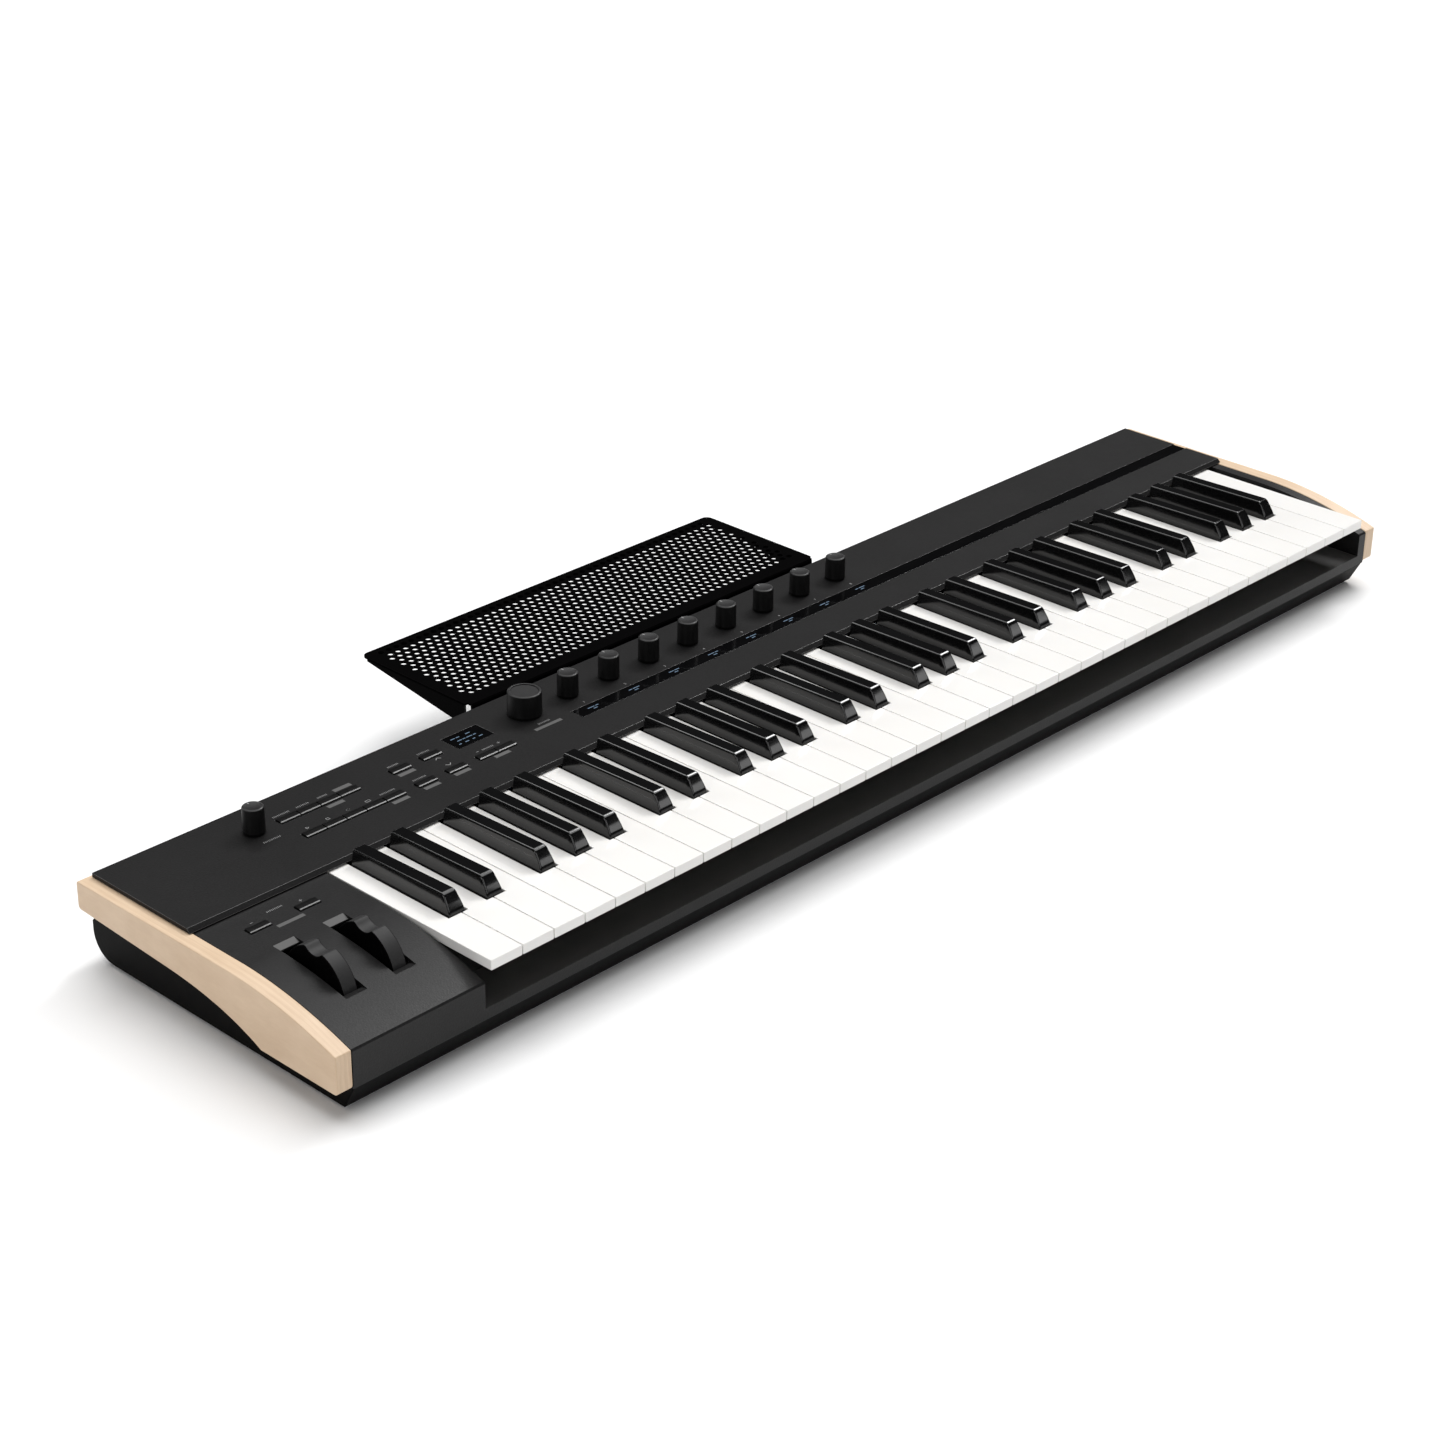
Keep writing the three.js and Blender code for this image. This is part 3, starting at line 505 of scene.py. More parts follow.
BLACK_FRONT = 50
BLACK_REAR = 133
BLACK_ROOT = -2.0
CORE_TOP = -1.5
BLACK_LEAN = 5.07
BLACK_HEIGHT = 11.3
BLACK_REAR_HEIGHT = 9.3
BLACK_HALF_FOOT = 6.3
BLACK_HALF_TOP = 4.7
SLOPE_FOOT = 0.6
SLOPE_HEAD = 0.82 * BLACK_HEIGHT
SLOPE_STEPS = 4
SLOPE_CURVE = 0.25
SLOPE_INSET = 0.5
BROW_ANGLE = 28
BROW_DEPTH = 3.4
BROW_STEPS = 5


def black_stations():
    """Cuts across a black key from front to back: place, half width at the crown, crown height."""
    stations = []
    narrow = BLACK_HALF_FOOT - SLOPE_INSET
    for step in range(SLOPE_STEPS + 1):
        rise = step / SLOPE_STEPS
        lean = BLACK_LEAN * (SLOPE_CURVE * rise**2 + (1 - SLOPE_CURVE) * rise)
        half_width = narrow + (BLACK_HALF_TOP - narrow) * rise
        height = SLOPE_FOOT + (SLOPE_HEAD - SLOPE_FOOT) * rise
        stations.append((BLACK_FRONT + lean, half_width, height))
    start = math.radians(BROW_ANGLE)
    for step in range(1, BROW_STEPS + 1):
        turn = math.radians(BROW_ANGLE + step * (90 - BROW_ANGLE) / BROW_STEPS)
        along = (math.cos(start) - math.cos(turn)) / math.cos(start)
        rise = (math.sin(turn) - math.sin(start)) / (1 - math.sin(start))
        place = BLACK_FRONT + BLACK_LEAN + along * BROW_DEPTH
        stations.append((place, BLACK_HALF_TOP, SLOPE_HEAD + (BLACK_HEIGHT - SLOPE_HEAD) * rise))
    stations.append((BLACK_REAR, BLACK_HALF_TOP, BLACK_REAR_HEIGHT))
    return stations


def black_key(octave, index):
    centre = octave * OCTAVE + BLACK_CENTRES[index]
    foot = BLACK_HALF_FOOT
    bm = bmesh.new()
    rings = []
    for y, crown, height in black_stations():
        corners = [(-foot, BLACK_ROOT), (foot, BLACK_ROOT), (crown, height), (-crown, height)]
        rings.append([bm.verts.new((centre + x, y, z)) for x, z in corners])
    bm.faces.new(rings[0])
    bm.faces.new(rings[-1])
    for ring, following in zip(rings, rings[1:]):
        for k in range(4):
            n = (k + 1) % 4
            bm.faces.new((ring[k], ring[n], following[n], following[k]))
    half = foot - TAIL_INSET
    slab(bm, centre - half, centre + half, BLACK_FRONT + 1, KEY_SHOULDER, -KEY_LIP, CORE_TOP)
    tail(bm, centre - half, centre + half)
    body = body_of(octave, SOLO_SHARPS[index], "black")
    name = f"black_key_{octave * len(BLACK_CENTRES) + index + 1}"
    piece(name, bm, "black", body, bevel=1.2, segments=5, angle=35, replaces=once(body))


for key_index in range(WHITE_KEYS):
    white_key(key_index)
for key_octave in range(WHITE_KEYS // 7):
    for sharp_index in range(len(BLACK_CENTRES)):
        black_key(key_octave, sharp_index)


# ---------------------------------------------------------------- case, panel and cheeks

tub_shell = refined("lower_case", "tub", 0.8)
upper_shell = refined("upper_case", "case", 0.35)
# The panel's rounded edges take the lighter edge finish: a painted highlight.
refined("top_panel", "panel", 0.45, 2, edge="edge")
refined("left_cheek", "wood", 0.8)
refined("right_cheek", "wood", 0.8)
refined("display_window", "glass", 0.15, 2)
refined("strip_window", "glass", 0.12, 2)
refined("keybed_frame", "frame", 0.4, 2)
refined("panel_board", "board", 0.15, 2)
refined("wheel_bracket", "steel", 0.2, 2)
refined("rear_jack_plate", "tub", 0.2, 2)
refined("power_rocker", "button", 0.4, 3, body="power_rocker")

# The floor of the well under the front of the keys is smoother than the rest of the upper case, and a
# lighter grey: painted light, standing in for the light that the keys shut out.
WELL_CEILING = world_height(-25)
mark_faces(upper_shell, "painted_light_grey", lambda face: face.normal.z > 0.9 and face.center.z < WELL_CEILING)


# ---------------------------------------------------------------- knobs

ENCODERS = [f"encoder_{number}" for number in range(1, 9)]
SHAFT_RADIUS = 3.0
KNOB_LIFT = 0.6
KNOB_SIDES = 72
CROWN_DEPTH = 1.2
CROWN_FLATNESS = 0.6
POINTER_LENGTH = 2.2
POINTER_HALF_WIDTH = 0.3


def knob(node, dished=False):
    """A knob on its short shaft, with a skirt at the foot. A plain one has a pointer line."""
    low, high = local_box(node)
    centre = (low + high) / 2
    radius = (high.x - low.x) / 2
    waist = radius - 0.15
    foot = PANEL_TOP + KNOB_LIFT
    top = high.z
    # Radius and height: the shaft, the skirt, the straight side and the eased rim of the crown.
    profile = [
        (0, low.z),
        (SHAFT_RADIUS, low.z),
        (SHAFT_RADIUS, foot),
        (radius - 0.6, foot),
        (radius - 0.05, foot + 0.25),
        (radius, foot + 0.9),
        (radius, foot + 1.3),
        (waist, foot + 1.7),
        (waist - 0.1, top - 1.1),
        (waist - 0.3, top - 0.55),
        (waist - 0.75, top - 0.15),
        (waist - 1.3, top),
    ]
    if dished:
        lip = radius - 1.9
        profile += [(lip, top), (lip - 0.25, top - 0.12), (lip - 0.5, top - 0.7), (0, top - 0.9)]
    else:
        profile += [(waist - 1.7, top - 0.12), (0, top - 0.3)]
    bm = bmesh.new()
    turned(bm, profile, (centre.x, centre.y, 0), sides=KNOB_SIDES)
    # The crown's flat faces take a lighter grey than the sides: painted top light.
    for face in bm.faces:
        face.normal_update()
        if abs(face.normal.z) > CROWN_FLATNESS and face.calc_center_median().z > top - CROWN_DEPTH:
            face.material_index = SECOND_FINISH
    piece(node + "_body", bm, "knob", node, smooth=28, replaces=(node,), edge="knob_painted_top_light")
    if not dished:
        left, right = centre.x - POINTER_HALF_WIDTH, centre.x + POINTER_HALF_WIDTH
        tip = centre.y + waist - 0.9
        bm = bmesh.new()
        slab(bm, left, right, tip - POINTER_LENGTH, tip, top - 0.3, top - 0.02)
        piece(node + "_pointer", bm, "symbol", node, bevel=0.08, segments=2)


knob("value_knob", dished=True)
knob("volume_knob")
for encoder in ENCODERS:
    knob(encoder)


# ---------------------------------------------------------------- buttons

BUTTON_NODES = [
    "menu_button_1",
    "menu_button_2",
    "menu_button_3",
    "menu_button_4",
    "arpeggio_button",
    "up_button",
    "play_button",
    "stop_button",
    "record_button",
    "loop_button",
    "tempo_button",
    "chord_button",
    "down_button",
    "page_left_button",
    "page_right_button",
    "octave_down_button",
    "octave_up_button",
]


def button(node):
    """A cap whose front edge is rounded, with a painted highlight on one facet along the rounding."""
    low, high = local_box(node)
    front, back, top = low.y, high.y, high.z
    # Depth and height, round the cap as seen from its end.
    section = [
        (front, low.z),
        (back, low.z),
        (back, top - 0.15),
        (back - 0.5, top),
        (front + 1.2, top - 0.1),
        (front + 0.5, top - 0.42),
        (front + 0.12, top - 0.8),
        (front, top - 1.2),
    ]
    end_caps = 2
    facet = 4
    bm = bmesh.new()
    faces = prism(bm, section, "x", low.x, high.x)
    # This facet takes the lighter edge finish: a painted highlight.
    faces[end_caps + facet].material_index = SECOND_FINISH
    piece(node + "_cap", bm, "button", node, smooth=20, replaces=(node,), edge="edge")


for button_node in BUTTON_NODES:
    button(button_node)


# ---------------------------------------------------------------- wheels

WHEEL_NODES = ["pitch_wheel", "mod_wheel"]
WHEEL_RADIUS = 24.5
WHEEL_BORE = 3.2
WHEEL_STEPS = 180
WHEEL_DISH = 0.35
DISH_REACH = 0.7
RIM_BAND = 0.12
GROOVE_DEPTH = 4.4
GROOVE_HALF = 7.4
GROOVE_EASE = 2.0


def wheel_outline():
    """The rim with a thumb groove at the top, the lips eased into the rim."""
    scoop = (GROOVE_HALF**2 + GROOVE_DEPTH**2) / (2 * GROOVE_DEPTH)
    reach = WHEEL_RADIUS - GROOVE_DEPTH + scoop
    points = []
    for step in range(WHEEL_STEPS):
        angle = 2 * math.pi * step / WHEEL_STEPS
        off = angle - math.pi / 2
        radius = WHEEL_RADIUS
        inside = scoop**2 - (reach * math.sin(off)) ** 2
        if inside > 0 and math.cos(off) > 0:
            groove = reach * math.cos(off) - math.sqrt(inside)
            blend = max(GROOVE_EASE - abs(radius - groove), 0) / GROOVE_EASE
            radius = min(radius, groove) - blend * blend * GROOVE_EASE / 4
        points.append((radius * math.cos(angle), radius * math.sin(angle)))
    return points


def wheel(node):
    """A grooved tread between two dished flanks, bored for the axle."""
    low, high = local_box(node)
    x0, x1 = low.x, high.x
    y = (low.y + high.y) / 2
    z = low.z + WHEEL_RADIUS
    outline = wheel_outline()
    rim = [(y + a, z + b) for a, b in outline]
    inset = [(y + a * DISH_REACH, z + b * DISH_REACH) for a, b in outline]
    band = [(a + (c - a) * RIM_BAND, b + (d - b) * RIM_BAND) for (a, b), (c, d) in zip(rim, inset)]
    turns = [2 * math.pi * step / WHEEL_STEPS for step in range(WHEEL_STEPS)]
    hub = [(y + WHEEL_BORE * math.cos(turn), z + WHEEL_BORE * math.sin(turn)) for turn in turns]
    bm = bmesh.new()
    loops = []
    for x, points in (
        (x0 + WHEEL_DISH, hub),
        (x0 + WHEEL_DISH, inset),
        (x0, band),
        (x0, rim),
        (x1, rim),
        (x1, band),
        (x1 - WHEEL_DISH, inset),
        (x1 - WHEEL_DISH, hub),
    ):
        loops.append([bm.verts.new((x, a, b)) for a, b in points])
    # The tread keeps the rubber's grey; the flanks and the bore take a near-black finish, painted shade.
    tread = 3
    for band_index, (loop, following) in enumerate(zip(loops, loops[1:] + loops[:1])):
        for k in range(WHEEL_STEPS):
            n = (k + 1) % WHEEL_STEPS
            face = bm.faces.new((loop[k], loop[n], following[n], following[k]))
            face.material_index = 0 if band_index == tread else SECOND_FINISH
    piece(node + "_tread", bm, "wheel", node, bevel=0.55, angle=45, replaces=(node,), edge="flank_painted_shade")


for wheel_node in WHEEL_NODES:
    wheel(wheel_node)


# ---------------------------------------------------------------- printing on the panel

INK_ROOT = 0.1
INK_HEIGHT = 0.05
LINE_WIDTH = 0.27
ARROW_WIDTH = 0.4


def label(name, x0, x1, y0, y1, surface=PANEL_TOP):
    """A plain printed bar."""
    bm = bmesh.new()
    slab(bm, x0, x1, y0, y1, surface - INK_ROOT, surface + INK_HEIGHT)
    piece(name, bm, "label", "case")


def strokes(name, lines, width=LINE_WIDTH, surface=PANEL_TOP):
    """Thin inked lines, each a run of points."""
    bm = bmesh.new()
    for line in lines:
        for (ax, ay), (bx, by) in zip(line, line[1:]):
            run = Vector((bx - ax, by - ay)).normalized() * (width / 2)
            side = Vector((-run.y, run.x))
            corners = [(ax, ay, -1, -1), (bx, by, 1, -1), (bx, by, 1, 1), (ax, ay, -1, 1)]
            outline = [(x + run.x * u + side.x * v, y + run.y * u + side.y * v) for x, y, u, v in corners]
            prism(bm, outline, "z", surface - INK_ROOT, surface + INK_HEIGHT)
    piece(name, bm, "symbol", "case")


def circle(x, y, radius, steps=20):
    turns = [2 * math.pi * k / steps for k in range(steps + 1)]
    return [(x + radius * math.cos(t), y + radius * math.sin(t)) for t in turns]


def box_line(x, half_width, y0, y1):
    left, right = x - half_width, x + half_width
    return [(left, y0), (right, y0), (right, y1), (left, y1), (left, y0)]


def chevron(x, foot, tip):
    return [(x - 1.9, foot), (x, tip), (x + 1.9, foot)]


def minus(x, y):
    return [[(x - 0.8, y), (x + 0.8, y)]]


def plus(x, y):
    return [[(x - 0.9, y), (x + 0.9, y)], [(x, y - 0.9), (x, y + 0.9)]]


# Bars of the panel's labels: left, right, front and back edge.
LABELS = [
    (98.9, 111.3, 186.2, 189.6),
    (59.3, 72.3, 199.2, 202.6),
    (44.3, 56.5, 186.4, 189.6),
    (74.1, 86.5, 163.0, 166.2),
    (98.8, 110.8, 163.2, 166.3),
    (123.1, 135.2, 163.6, 166.8),
    (155.3, 167.4, 163.6, 166.7),
    (196.6, 218.7, 172.4, 175.2),
]
for number, edges in enumerate(LABELS, 1):
    label(f"label_{number}", *edges)

# Rows of fine ticks stand where the panel has words: left end, right end and the row's middle.
TICK_PITCH = 1.15
TICK_HALF = 0.62
WORDS = [
    (13.9, 25.3, 200.7),
    (31.4, 39.8, 200.7),
    (47.3, 53.8, 200.9),
    (101.1, 108.6, 200.7),
    (124.6, 133.2, 200.7),
    (-8.3, 3.2, 181.1),
    (75.6, 86.2, 177.9),
    (100.9, 110.2, 177.4),
    (156.5, 164.6, 177.7),
    (203.8, 212.6, 178.4),
]


def ticks(name, x0, x1, y, surface=PANEL_TOP):
    count = round((x1 - x0) / TICK_PITCH)
    spots = [x0 + (x1 - x0) * k / count for k in range(count + 1)]
    strokes(name, [[(x, y - TICK_HALF), (x, y + TICK_HALF)] for x in spots], surface=surface)


for number, row in enumerate(WORDS, 1):
    ticks(f"ticks_{number}", *row)

play_x = centre_of("play_button").x + 0.4
stop_x = centre_of("stop_button").x + 0.4
record_x = centre_of("record_button").x + 0.4
loop_x = centre_of("loop_button").x + 0.4
up_x = centre_of("up_button").x + 0.5
page_left = centre_of("page_left_button").x - 1
page_right = centre_of("page_right_button").x + 0.9
triangle = [(play_x - 1, 176.3), (play_x - 1, 178.5), (play_x + 1, 177.4), (play_x - 1, 176.3)]
strokes("play_symbol", [triangle])
strokes("stop_symbol", [box_line(stop_x, 1, 176.4, 178.4)])
strokes("record_symbol", [circle(record_x, 177.4, 1.1)])
strokes("loop_symbol", [box_line(loop_x, 1.6, 176.5, 178.3)])
strokes("up_symbol", [chevron(up_x, 187.6, 189.4)], ARROW_WIDTH)
strokes("down_symbol", [chevron(up_x, 178.9, 177.1)], ARROW_WIDTH)
strokes("minus_symbol", minus(page_left, 178))
strokes("plus_symbol", plus(page_right, 178))

FIGURE_HEIGHT = 1.9
FIGURE_DROP = 14.4
FONT_SCALE = 1.4
FIGURE_THICKNESS = 0.06


def digit(name, character, x, y):
    """A printed figure beside an encoder."""
    curve = bpy.data.curves.new(name, "FONT")
    curve.body = character
    curve.size = FIGURE_HEIGHT * FONT_SCALE * MM
    curve.extrude = FIGURE_THICKNESS * MM
    curve.align_x = "CENTER"
    curve.align_y = "CENTER"
    text = bpy.data.objects.new(name, curve)
    bpy.context.scene.collection.objects.link(text)
    text.location = TO_WORLD @ Vector((x, y, PANEL_TOP))
    bpy.context.view_layer.update()
    mesh = bpy.data.meshes.new_from_object(text)
    mesh.transform(text.matrix_world)
    bpy.data.objects.remove(text)
    finish_piece(name, mesh, "symbol", "case", smooth=30)


# The control block's own top is level at the back and a parabola that falls to the front.
BLOCK_TOP = 0.6
BLOCK_CREST = 95
BLOCK_FRONT = 3.3
BLOCK_FALL = 15.1


def block_height(y):
    run = max(BLOCK_CREST - y, 0) / (BLOCK_CREST - BLOCK_FRONT)
    return BLOCK_TOP - BLOCK_FALL * run * run


octave_down_x = centre_of("octave_down_button").x
octave_up_x = centre_of("octave_up_button").x
label("octave_label", octave_down_x + 8, octave_up_x - 7.8, 106.3, 109.2, BLOCK_TOP)
ticks("octave_ticks", -52.4, -42.4, 124, BLOCK_TOP)
strokes("octave_minus", minus(octave_down_x + 0.2, 120.9), surface=BLOCK_TOP)
strokes("octave_plus", plus(octave_up_x + 0.2, 121), surface=BLOCK_TOP)

# Each wheel's slot has a shallow ramp at the back, in the labels' lighter grey: a painted sheen.
RAMP_HALF_WIDTH = 7.2
RAMP_REAR = 93.8
RAMP_FRONT = 89.1
RAMP_DROP = 1.5
for wheel_node in WHEEL_NODES:
    x = centre_of(wheel_node).x
    high = block_height(RAMP_REAR)
    deep = block_height(RAMP_FRONT) - RAMP_DROP
    wedge = [
        (RAMP_REAR, high - 0.15),
        (RAMP_REAR, high + 0.03),
        (RAMP_FRONT, deep + 0.12),
        (RAMP_FRONT, deep - 0.1),
    ]
    bm = bmesh.new()
    prism(bm, wedge, "x", x - RAMP_HALF_WIDTH, x + RAMP_HALF_WIDTH)
    # The ramp takes the labels' lighter grey: a painted sheen.
    piece(wheel_node + "_ramp", bm, "label", "case")

for number, encoder in enumerate(ENCODERS, 1):
    spot = centre_of(encoder)
    digit(f"figure_{number}", str(number), spot.x + 0.2, spot.y - FIGURE_DROP)

# Items on the two dark windows: plain bars, three under each encoder and three rows on the display.
GLASS_HEIGHT = 0.03
STRIP_ROWS = (172.3, 170)
STRIP_BAR_HALF = 0.38
DISPLAY_BAR_HALF = 0.42
DISPLAY_TOP_MARGIN = 4.4
DISPLAY_ROW_PITCH = 4
DISPLAY_ROWS = [
    [(4, 7.5), (8.3, 11), (16, 19.5)],
    [(6, 9.5), (10.3, 12.5), (13.3, 18), (18.8, 21)],
    [(4, 6), (9, 12), (15, 17), (20, 23)],
]


def lit_bar(bm, x0, x1, y, half_height, surface):
    slab(bm, x0, x1, y - half_height, y + half_height, surface - INK_ROOT, surface + GLASS_HEIGHT)


strip_top = local_box("strip_window")[1].z
for number, encoder in enumerate(ENCODERS, 1):
    x = centre_of(encoder).x
    gap = x + 1.6 * math.sin(2.1 * number)
    bm = bmesh.new()
    lit_bar(bm, x - 4.6, gap - 0.4, STRIP_ROWS[0], STRIP_BAR_HALF, strip_top)
    lit_bar(bm, gap + 0.4, x + 4.6, STRIP_ROWS[0], STRIP_BAR_HALF, strip_top)
    lit_bar(bm, x - 1.6, x + 1.6, STRIP_ROWS[1], STRIP_BAR_HALF, strip_top)
    piece(f"strip_item_{number}", bm, "pixels", "case")

display_low, display_high = local_box("display_window")
bm = bmesh.new()
for row, dashes in enumerate(DISPLAY_ROWS):
    y = display_high.y - DISPLAY_TOP_MARGIN - DISPLAY_ROW_PITCH * row
    for start, stop in dashes:
        lit_bar(bm, display_low.x + start, display_low.x + stop, y, DISPLAY_BAR_HALF, display_high.z)
piece("display_items", bm, "pixels", "case")


# ---------------------------------------------------------------- laptop shelf

SHELF_SHEET = 1.2
CORNER_RADIUS = 5
CORNER_STEPS = 8
RELIEF_WIDTH = 2.2
RELIEF_DEPTH = 3
FOLD_RADIUS = 1.6
FOLD_STEPS = 5
FOLD_INSET = 2.4
HEM_DEPTH = 6.5
HOLE_RADIUS = 2.15
HOLE_SIDES = 14
HOLE_PITCH = 6.43
HOLE_INSET = 11.4
ROW_PITCH = 5.5
HOLE_ROWS = 16
FIRST_ROW = 14
SHELF_OVERLAP = 0.3
shelf_low, shelf_high = local_box("laptop_shelf")


def spline(curve, points):
    made = curve.splines.new("POLY")
    made.points.add(len(points) - 1)
    for target, (x, y) in zip(made.points, points):
        target.co = (x, y, 0, 1)
    made.use_cyclic_u = True


def arc(cx, cy, radius, start, turn, steps):
    """Points on an arc, from start degrees through turn degrees."""
    angles = [math.radians(start + turn * step / steps) for step in range(steps + 1)]
    return [(cx + radius * math.cos(angle), cy + radius * math.sin(angle)) for angle in angles]


def shelf_rim():
    """The deck's outline: notched at the ends of the front fold, rounded at the back."""
    x0, x1, y0, y1 = shelf_low.x, shelf_high.x, shelf_low.y + 0.6, shelf_high.y
    notch_left, notch_right, notch_rear = x0 + RELIEF_WIDTH, x1 - RELIEF_WIDTH, y0 + RELIEF_DEPTH
    rim = [(x0, notch_rear), (notch_left, notch_rear), (notch_left, y0)]
    rim += [(notch_right, y0), (notch_right, notch_rear), (x1, notch_rear)]
    corner_y = y1 - CORNER_RADIUS
    rim += arc(x1 - CORNER_RADIUS, corner_y, CORNER_RADIUS, 0, 90, CORNER_STEPS)
    rim += arc(x0 + CORNER_RADIUS, corner_y, CORNER_RADIUS, 90, 90, CORNER_STEPS)
    return rim


def shelf_deck():
    """The flat sheet: a plain border round staggered rows of round holes."""
    curve = bpy.data.curves.new("shelf_deck", "CURVE")
    curve.dimensions = "2D"
    curve.fill_mode = "BOTH"
    curve.extrude = SHELF_SHEET / 2
    spline(curve, shelf_rim())
    for row in range(HOLE_ROWS):
        stagger = HOLE_PITCH / 2 * ((row + 1) % 2)
        x = shelf_low.x + HOLE_INSET + stagger
        while x < shelf_high.x - HOLE_INSET + 1:
            hole = circle(x, shelf_low.y + FIRST_ROW + row * ROW_PITCH, HOLE_RADIUS, HOLE_SIDES)
            spline(curve, hole[:-1])
            x += HOLE_PITCH
    holder = bpy.data.objects.new("shelf_deck", curve)
    bpy.context.scene.collection.objects.link(holder)
    bpy.context.view_layer.update()
    mesh = bpy.data.meshes.new_from_object(holder)
    bpy.data.objects.remove(holder)
    bm = bmesh.new()
    bm.from_mesh(mesh)
    bmesh.ops.remove_doubles(bm, verts=bm.verts, dist=0.001)
    bm.transform(Matrix.Translation((0, 0, shelf_high.z - SHELF_SHEET / 2)))
    piece("shelf_deck", bm, "shelf", "case", smooth=30, replaces=("laptop_shelf",))


def shelf_flanges():
    """The folds: down the front, a taper down each side and a hem at the back."""
    x0, x1 = shelf_low.x, shelf_high.x
    y0, y1 = shelf_low.y, shelf_high.y
    bottom, top = shelf_low.z, shelf_high.z
    under = top - SHELF_OVERLAP
    bend_y, bend_z = y0 + FOLD_RADIUS, top - FOLD_RADIUS
    bm = bmesh.new()
    fold = [(y0, bottom), (y0 + SHELF_SHEET, bottom)]
    fold += arc(bend_y, bend_z, FOLD_RADIUS - SHELF_SHEET, 180, -90, FOLD_STEPS)
    fold += arc(bend_y, bend_z, FOLD_RADIUS, 90, 90, FOLD_STEPS)
    prism(bm, fold, "x", x0 + FOLD_INSET, x1 - FOLD_INSET)
    front, rear = y0 + 4, y1 - 6
    gusset = [(front, under), (front, bottom), (rear, top - 2.6), (rear, under)]
    for side in (x0, x1 - SHELF_SHEET):
        prism(bm, gusset, "x", side, side + SHELF_SHEET)
    slab(bm, x0 + 6, x1 - 6, y1 - SHELF_SHEET, y1, top - HEM_DEPTH, under)
    # The folds' rounded edges take a lighter grey: a painted highlight.
    piece("shelf_flanges", bm, "shelf", "case", bevel=0.22, segments=2, angle=40, edge="painted_light_grey")


shelf_deck()
shelf_flanges()


# ---------------------------------------------------------------- sockets at the back

SOCKET_Z = -15.5
SOCKET_FACE = local_box("rear_jack_plate")[1].y
JACKS = [648, 676, 704, 732, 770, 798]
JACK_RADII = (3.45, 5.4)
MIDI_SOCKETS = [590, 617]
MIDI_RADII = (6.95, 8.4)
COLLAR_HEIGHT = 2.2
COLLAR_CHAMFER = 0.4
PIN_ANGLES = (0, 45, 90, 135, 180)
PIN_CIRCLE = 4.4
PIN_SECTION = [(0, -9), (0.7, -9), (0.7, -2.5), (0, -2)]


def collar(name, x, radii, finish):
    inner, outer = radii
    profile = [
        (inner, 0),
        (inner, COLLAR_HEIGHT),
        (outer - COLLAR_CHAMFER, COLLAR_HEIGHT),
        (outer, COLLAR_HEIGHT - COLLAR_CHAMFER),
        (outer, 0),
        (inner, 0),
    ]
    bm = bmesh.new()
    turned(bm, profile, (x, SOCKET_FACE, SOCKET_Z), axis="y", sides=40)
    piece(name, bm, finish, "case", smooth=30)


def midi_pins(name, x):
    bm = bmesh.new()
    for angle in PIN_ANGLES:
        pin_x = x + PIN_CIRCLE * math.cos(math.radians(angle))
        pin_z = SOCKET_Z + PIN_CIRCLE * math.sin(math.radians(angle))
        turned(bm, PIN_SECTION, (pin_x, SOCKET_FACE, pin_z), axis="y", sides=12)
    piece(name, bm, "steel", "case")


for number, x in enumerate(JACKS, 1):
    collar(f"jack_nut_{number}", x, JACK_RADII, "steel")
for number, x in enumerate(MIDI_SOCKETS, 1):
    collar(f"midi_rim_{number}", x, MIDI_RADII, "socket")
    midi_pins(f"midi_pins_{number}", x)


# ---------------------------------------------------------------- pads and screws underneath

PAD_HEIGHT = 2
SCREW_COLUMNS = 7
SCREW_ROWS = (30, 118, 206)
SCREW_MARGIN = 70
SCREW_SIDES = 32
tub_low, tub_high = local_box("lower_case")
underside = tub_low.z + PAD_HEIGHT
mark_faces(tub_shell, "pad", lambda face: face.center.z < world_height(underside - 0.1))

# A screw head is a low dome, cut flat inside the tub's wall, with a recess for the driver.
SCREW_HEAD = [(0, 0.7), (1.3, 0.7), (1.3, -0.25), (2.4, -0.25), (2.9, 0.1), (2.9, 1), (0, 1)]
for column in range(SCREW_COLUMNS):
    x = tub_low.x + SCREW_MARGIN + (tub_high.x - tub_low.x - 2 * SCREW_MARGIN) * column / (SCREW_COLUMNS - 1)
    for row, y in enumerate(SCREW_ROWS):
        bm = bmesh.new()
        turned(bm, SCREW_HEAD, (x, y, underside), sides=SCREW_SIDES)
        piece(f"screw_{column + 1}_{row + 1}", bm, "screw", "case", smooth=30)


# ---------------------------------------------------------------- room, light and camera

FLOOR_REACH = 14
FLOOR_GAP = 0.0005
SUN_STRENGTH = 2.6
SUN_SPREAD = 70
SUN_TILT = (-8, 14)
WORLD_STRENGTH = 0.02
CAMERA_ANGLES = (-46.729, 26.965, 0.708)
CAMERA_PLACE = (-921.2, -1032.7, 848.2)
CAMERA_LENS = 75.5

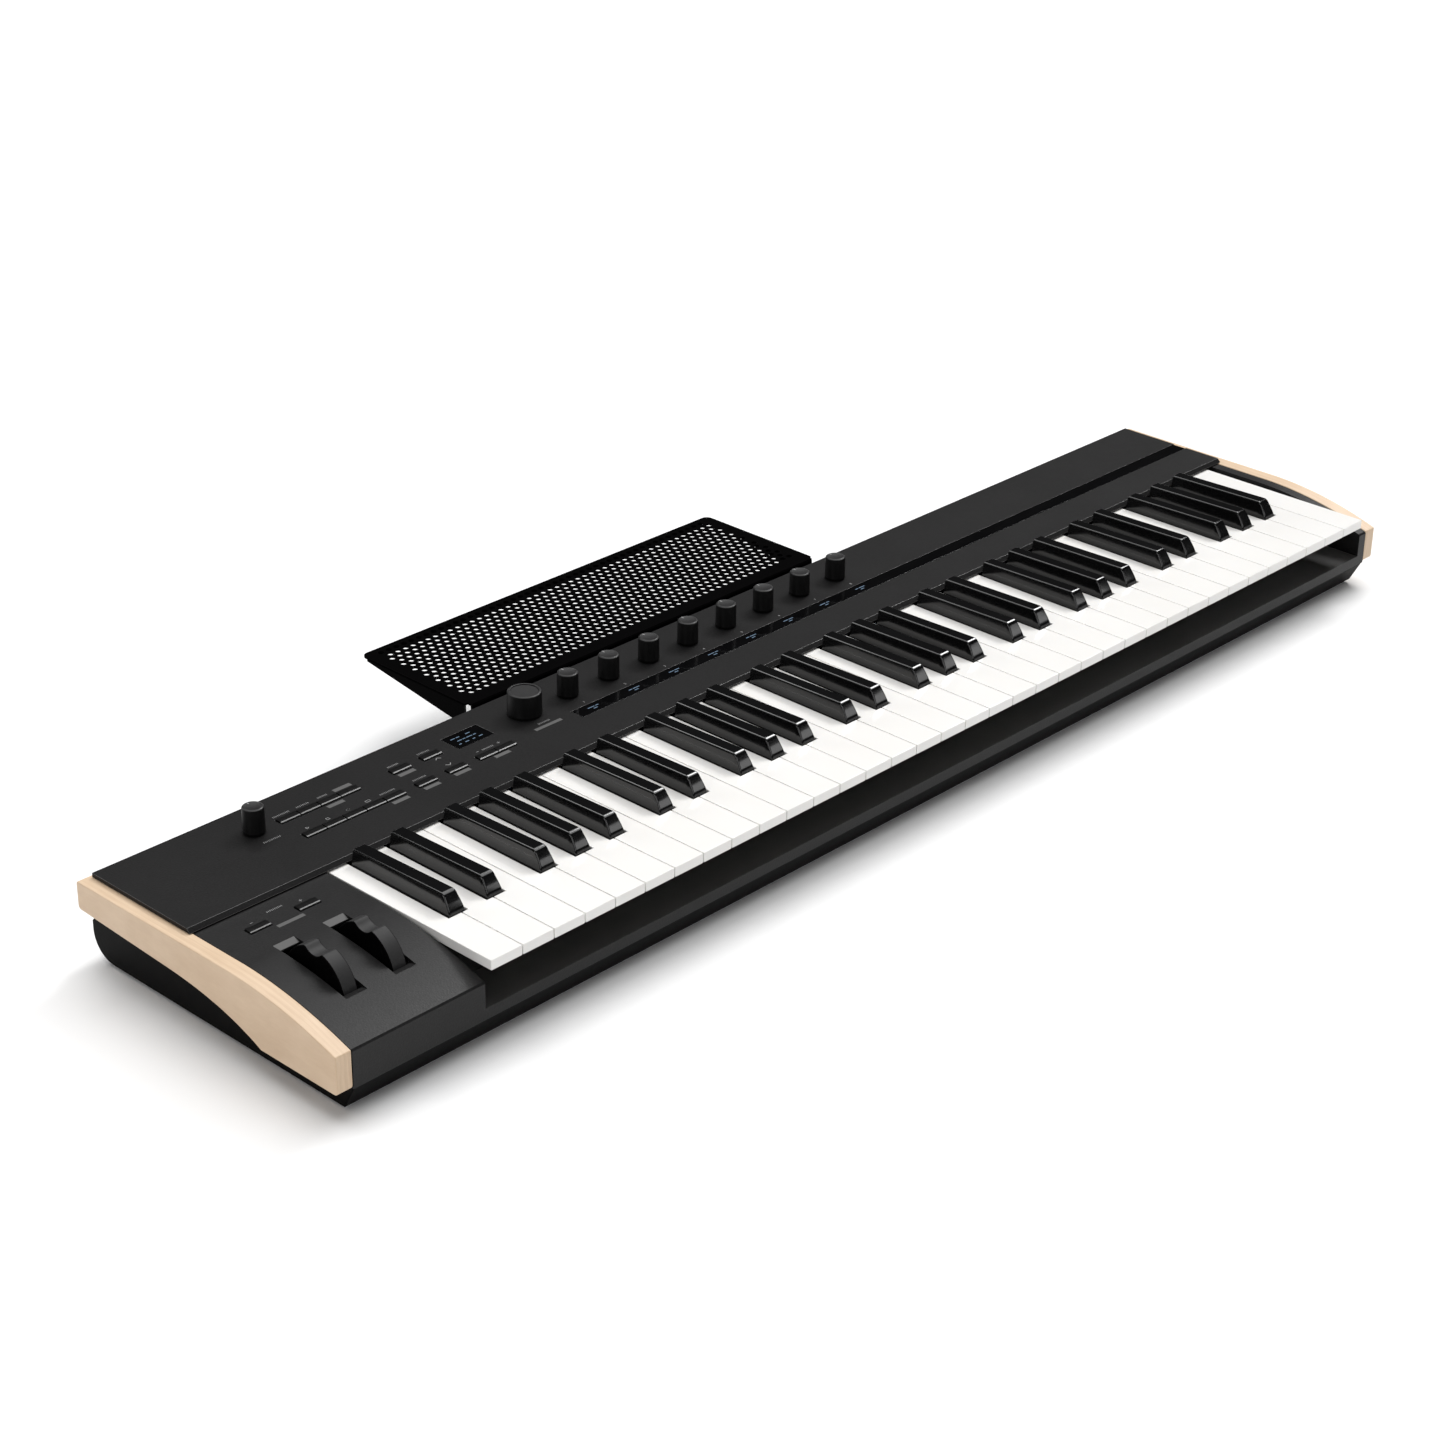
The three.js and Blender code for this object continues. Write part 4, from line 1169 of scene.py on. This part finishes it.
# Softboxes: name, place and target in metres, width, height, watts.
SOFTBOXES = [
    ("key", (3.1, 0.5, 3.3), (0, 0, 0), 1.5, 1.2, 85),
    ("rear_strip", (-0.2, 2.2, 2.6), (0, 0, 0), 3.0, 0.4, 10),
    ("rear", (-1.4, 3.0, 1.3), (0, 0, 0), 2.0, 0.8, 22),
    ("front_right", (1.9, -2.2, 0.9), (0.2, 0, 0), 1.1, 0.5, 4),
    ("front", (-1.0, -2.6, 1.5), (0, 0, 0), 1.6, 1.0, 10),
    ("left", (-2.6, -0.5, 1.1), (-0.3, 0, 0), 1.4, 1.0, 12),
]


def pale_floor():
    made = Shader("studio_floor", Roughness=0.9)
    made.colour(made.blend(made.noise(900, 2), (0.93, 0.93, 0.93), (0.95, 0.95, 0.95)))
    height = cad_box[0].z - FLOOR_GAP
    reach = FLOOR_REACH
    corners = [(-reach, -reach), (reach, -reach), (reach, reach), (-reach, reach)]
    bm = bmesh.new()
    bm.faces.new([bm.verts.new((x, y, height)) for x, y in corners])
    mesh = bpy.data.meshes.new("floor")
    bm.to_mesh(mesh)
    bm.free()
    mesh.materials.append(made.material)
    floor = bpy.data.objects.new("floor", mesh)
    bpy.context.scene.collection.objects.link(floor)


def softbox(name, place, target, width, height, power):
    light = bpy.data.lights.new(name, "AREA")
    light.shape = "RECTANGLE"
    light.size = width
    light.size_y = height
    light.energy = power
    lamp = bpy.data.objects.new(name, light)
    bpy.context.scene.collection.objects.link(lamp)
    lamp.location = place
    lamp.rotation_mode = "QUATERNION"
    lamp.rotation_quaternion = (Vector(target) - Vector(place)).to_track_quat("-Z", "Y")


def overhead_light():
    """Soft light from the whole of the ceiling."""
    light = bpy.data.lights.new("overhead", "SUN")
    light.energy = SUN_STRENGTH
    light.angle = math.radians(SUN_SPREAD)
    lamp = bpy.data.objects.new("overhead", light)
    lamp.rotation_euler = (math.radians(SUN_TILT[0]), math.radians(SUN_TILT[1]), 0)
    bpy.context.scene.collection.objects.link(lamp)


def white_room():
    world = bpy.data.worlds.new("studio")
    world.use_nodes = True
    background = world.node_tree.nodes["Background"]
    background.inputs["Color"].default_value = (*WHITE, 1)
    background.inputs["Strength"].default_value = WORLD_STRENGTH
    bpy.context.scene.world = world


def make_camera():
    """Looks down along the keyboard from the bass end."""
    azimuth, elevation, roll = (math.radians(angle) for angle in CAMERA_ANGLES)
    level = math.cos(elevation)
    back = Vector((math.sin(azimuth) * level, -math.cos(azimuth) * level, math.sin(elevation)))
    data = bpy.data.cameras.new("camera")
    data.sensor_width = 36
    data.lens = CAMERA_LENS
    data.clip_start = 0.05
    data.clip_end = 60
    camera = bpy.data.objects.new("camera", data)
    bpy.context.scene.collection.objects.link(camera)
    camera.location = TO_WORLD @ Vector(CAMERA_PLACE)
    camera.rotation_mode = "QUATERNION"
    tilt = Matrix.Rotation(roll, 4, "Z").to_quaternion()
    camera.rotation_quaternion = (-back).to_track_quat("-Z", "Y") @ tilt
    bpy.context.scene.camera = camera


pale_floor()
make_camera()
white_room()
overhead_light()
for box in SOFTBOXES:
    softbox(*box)
bpy.context.scene.view_settings.view_transform = "Standard"
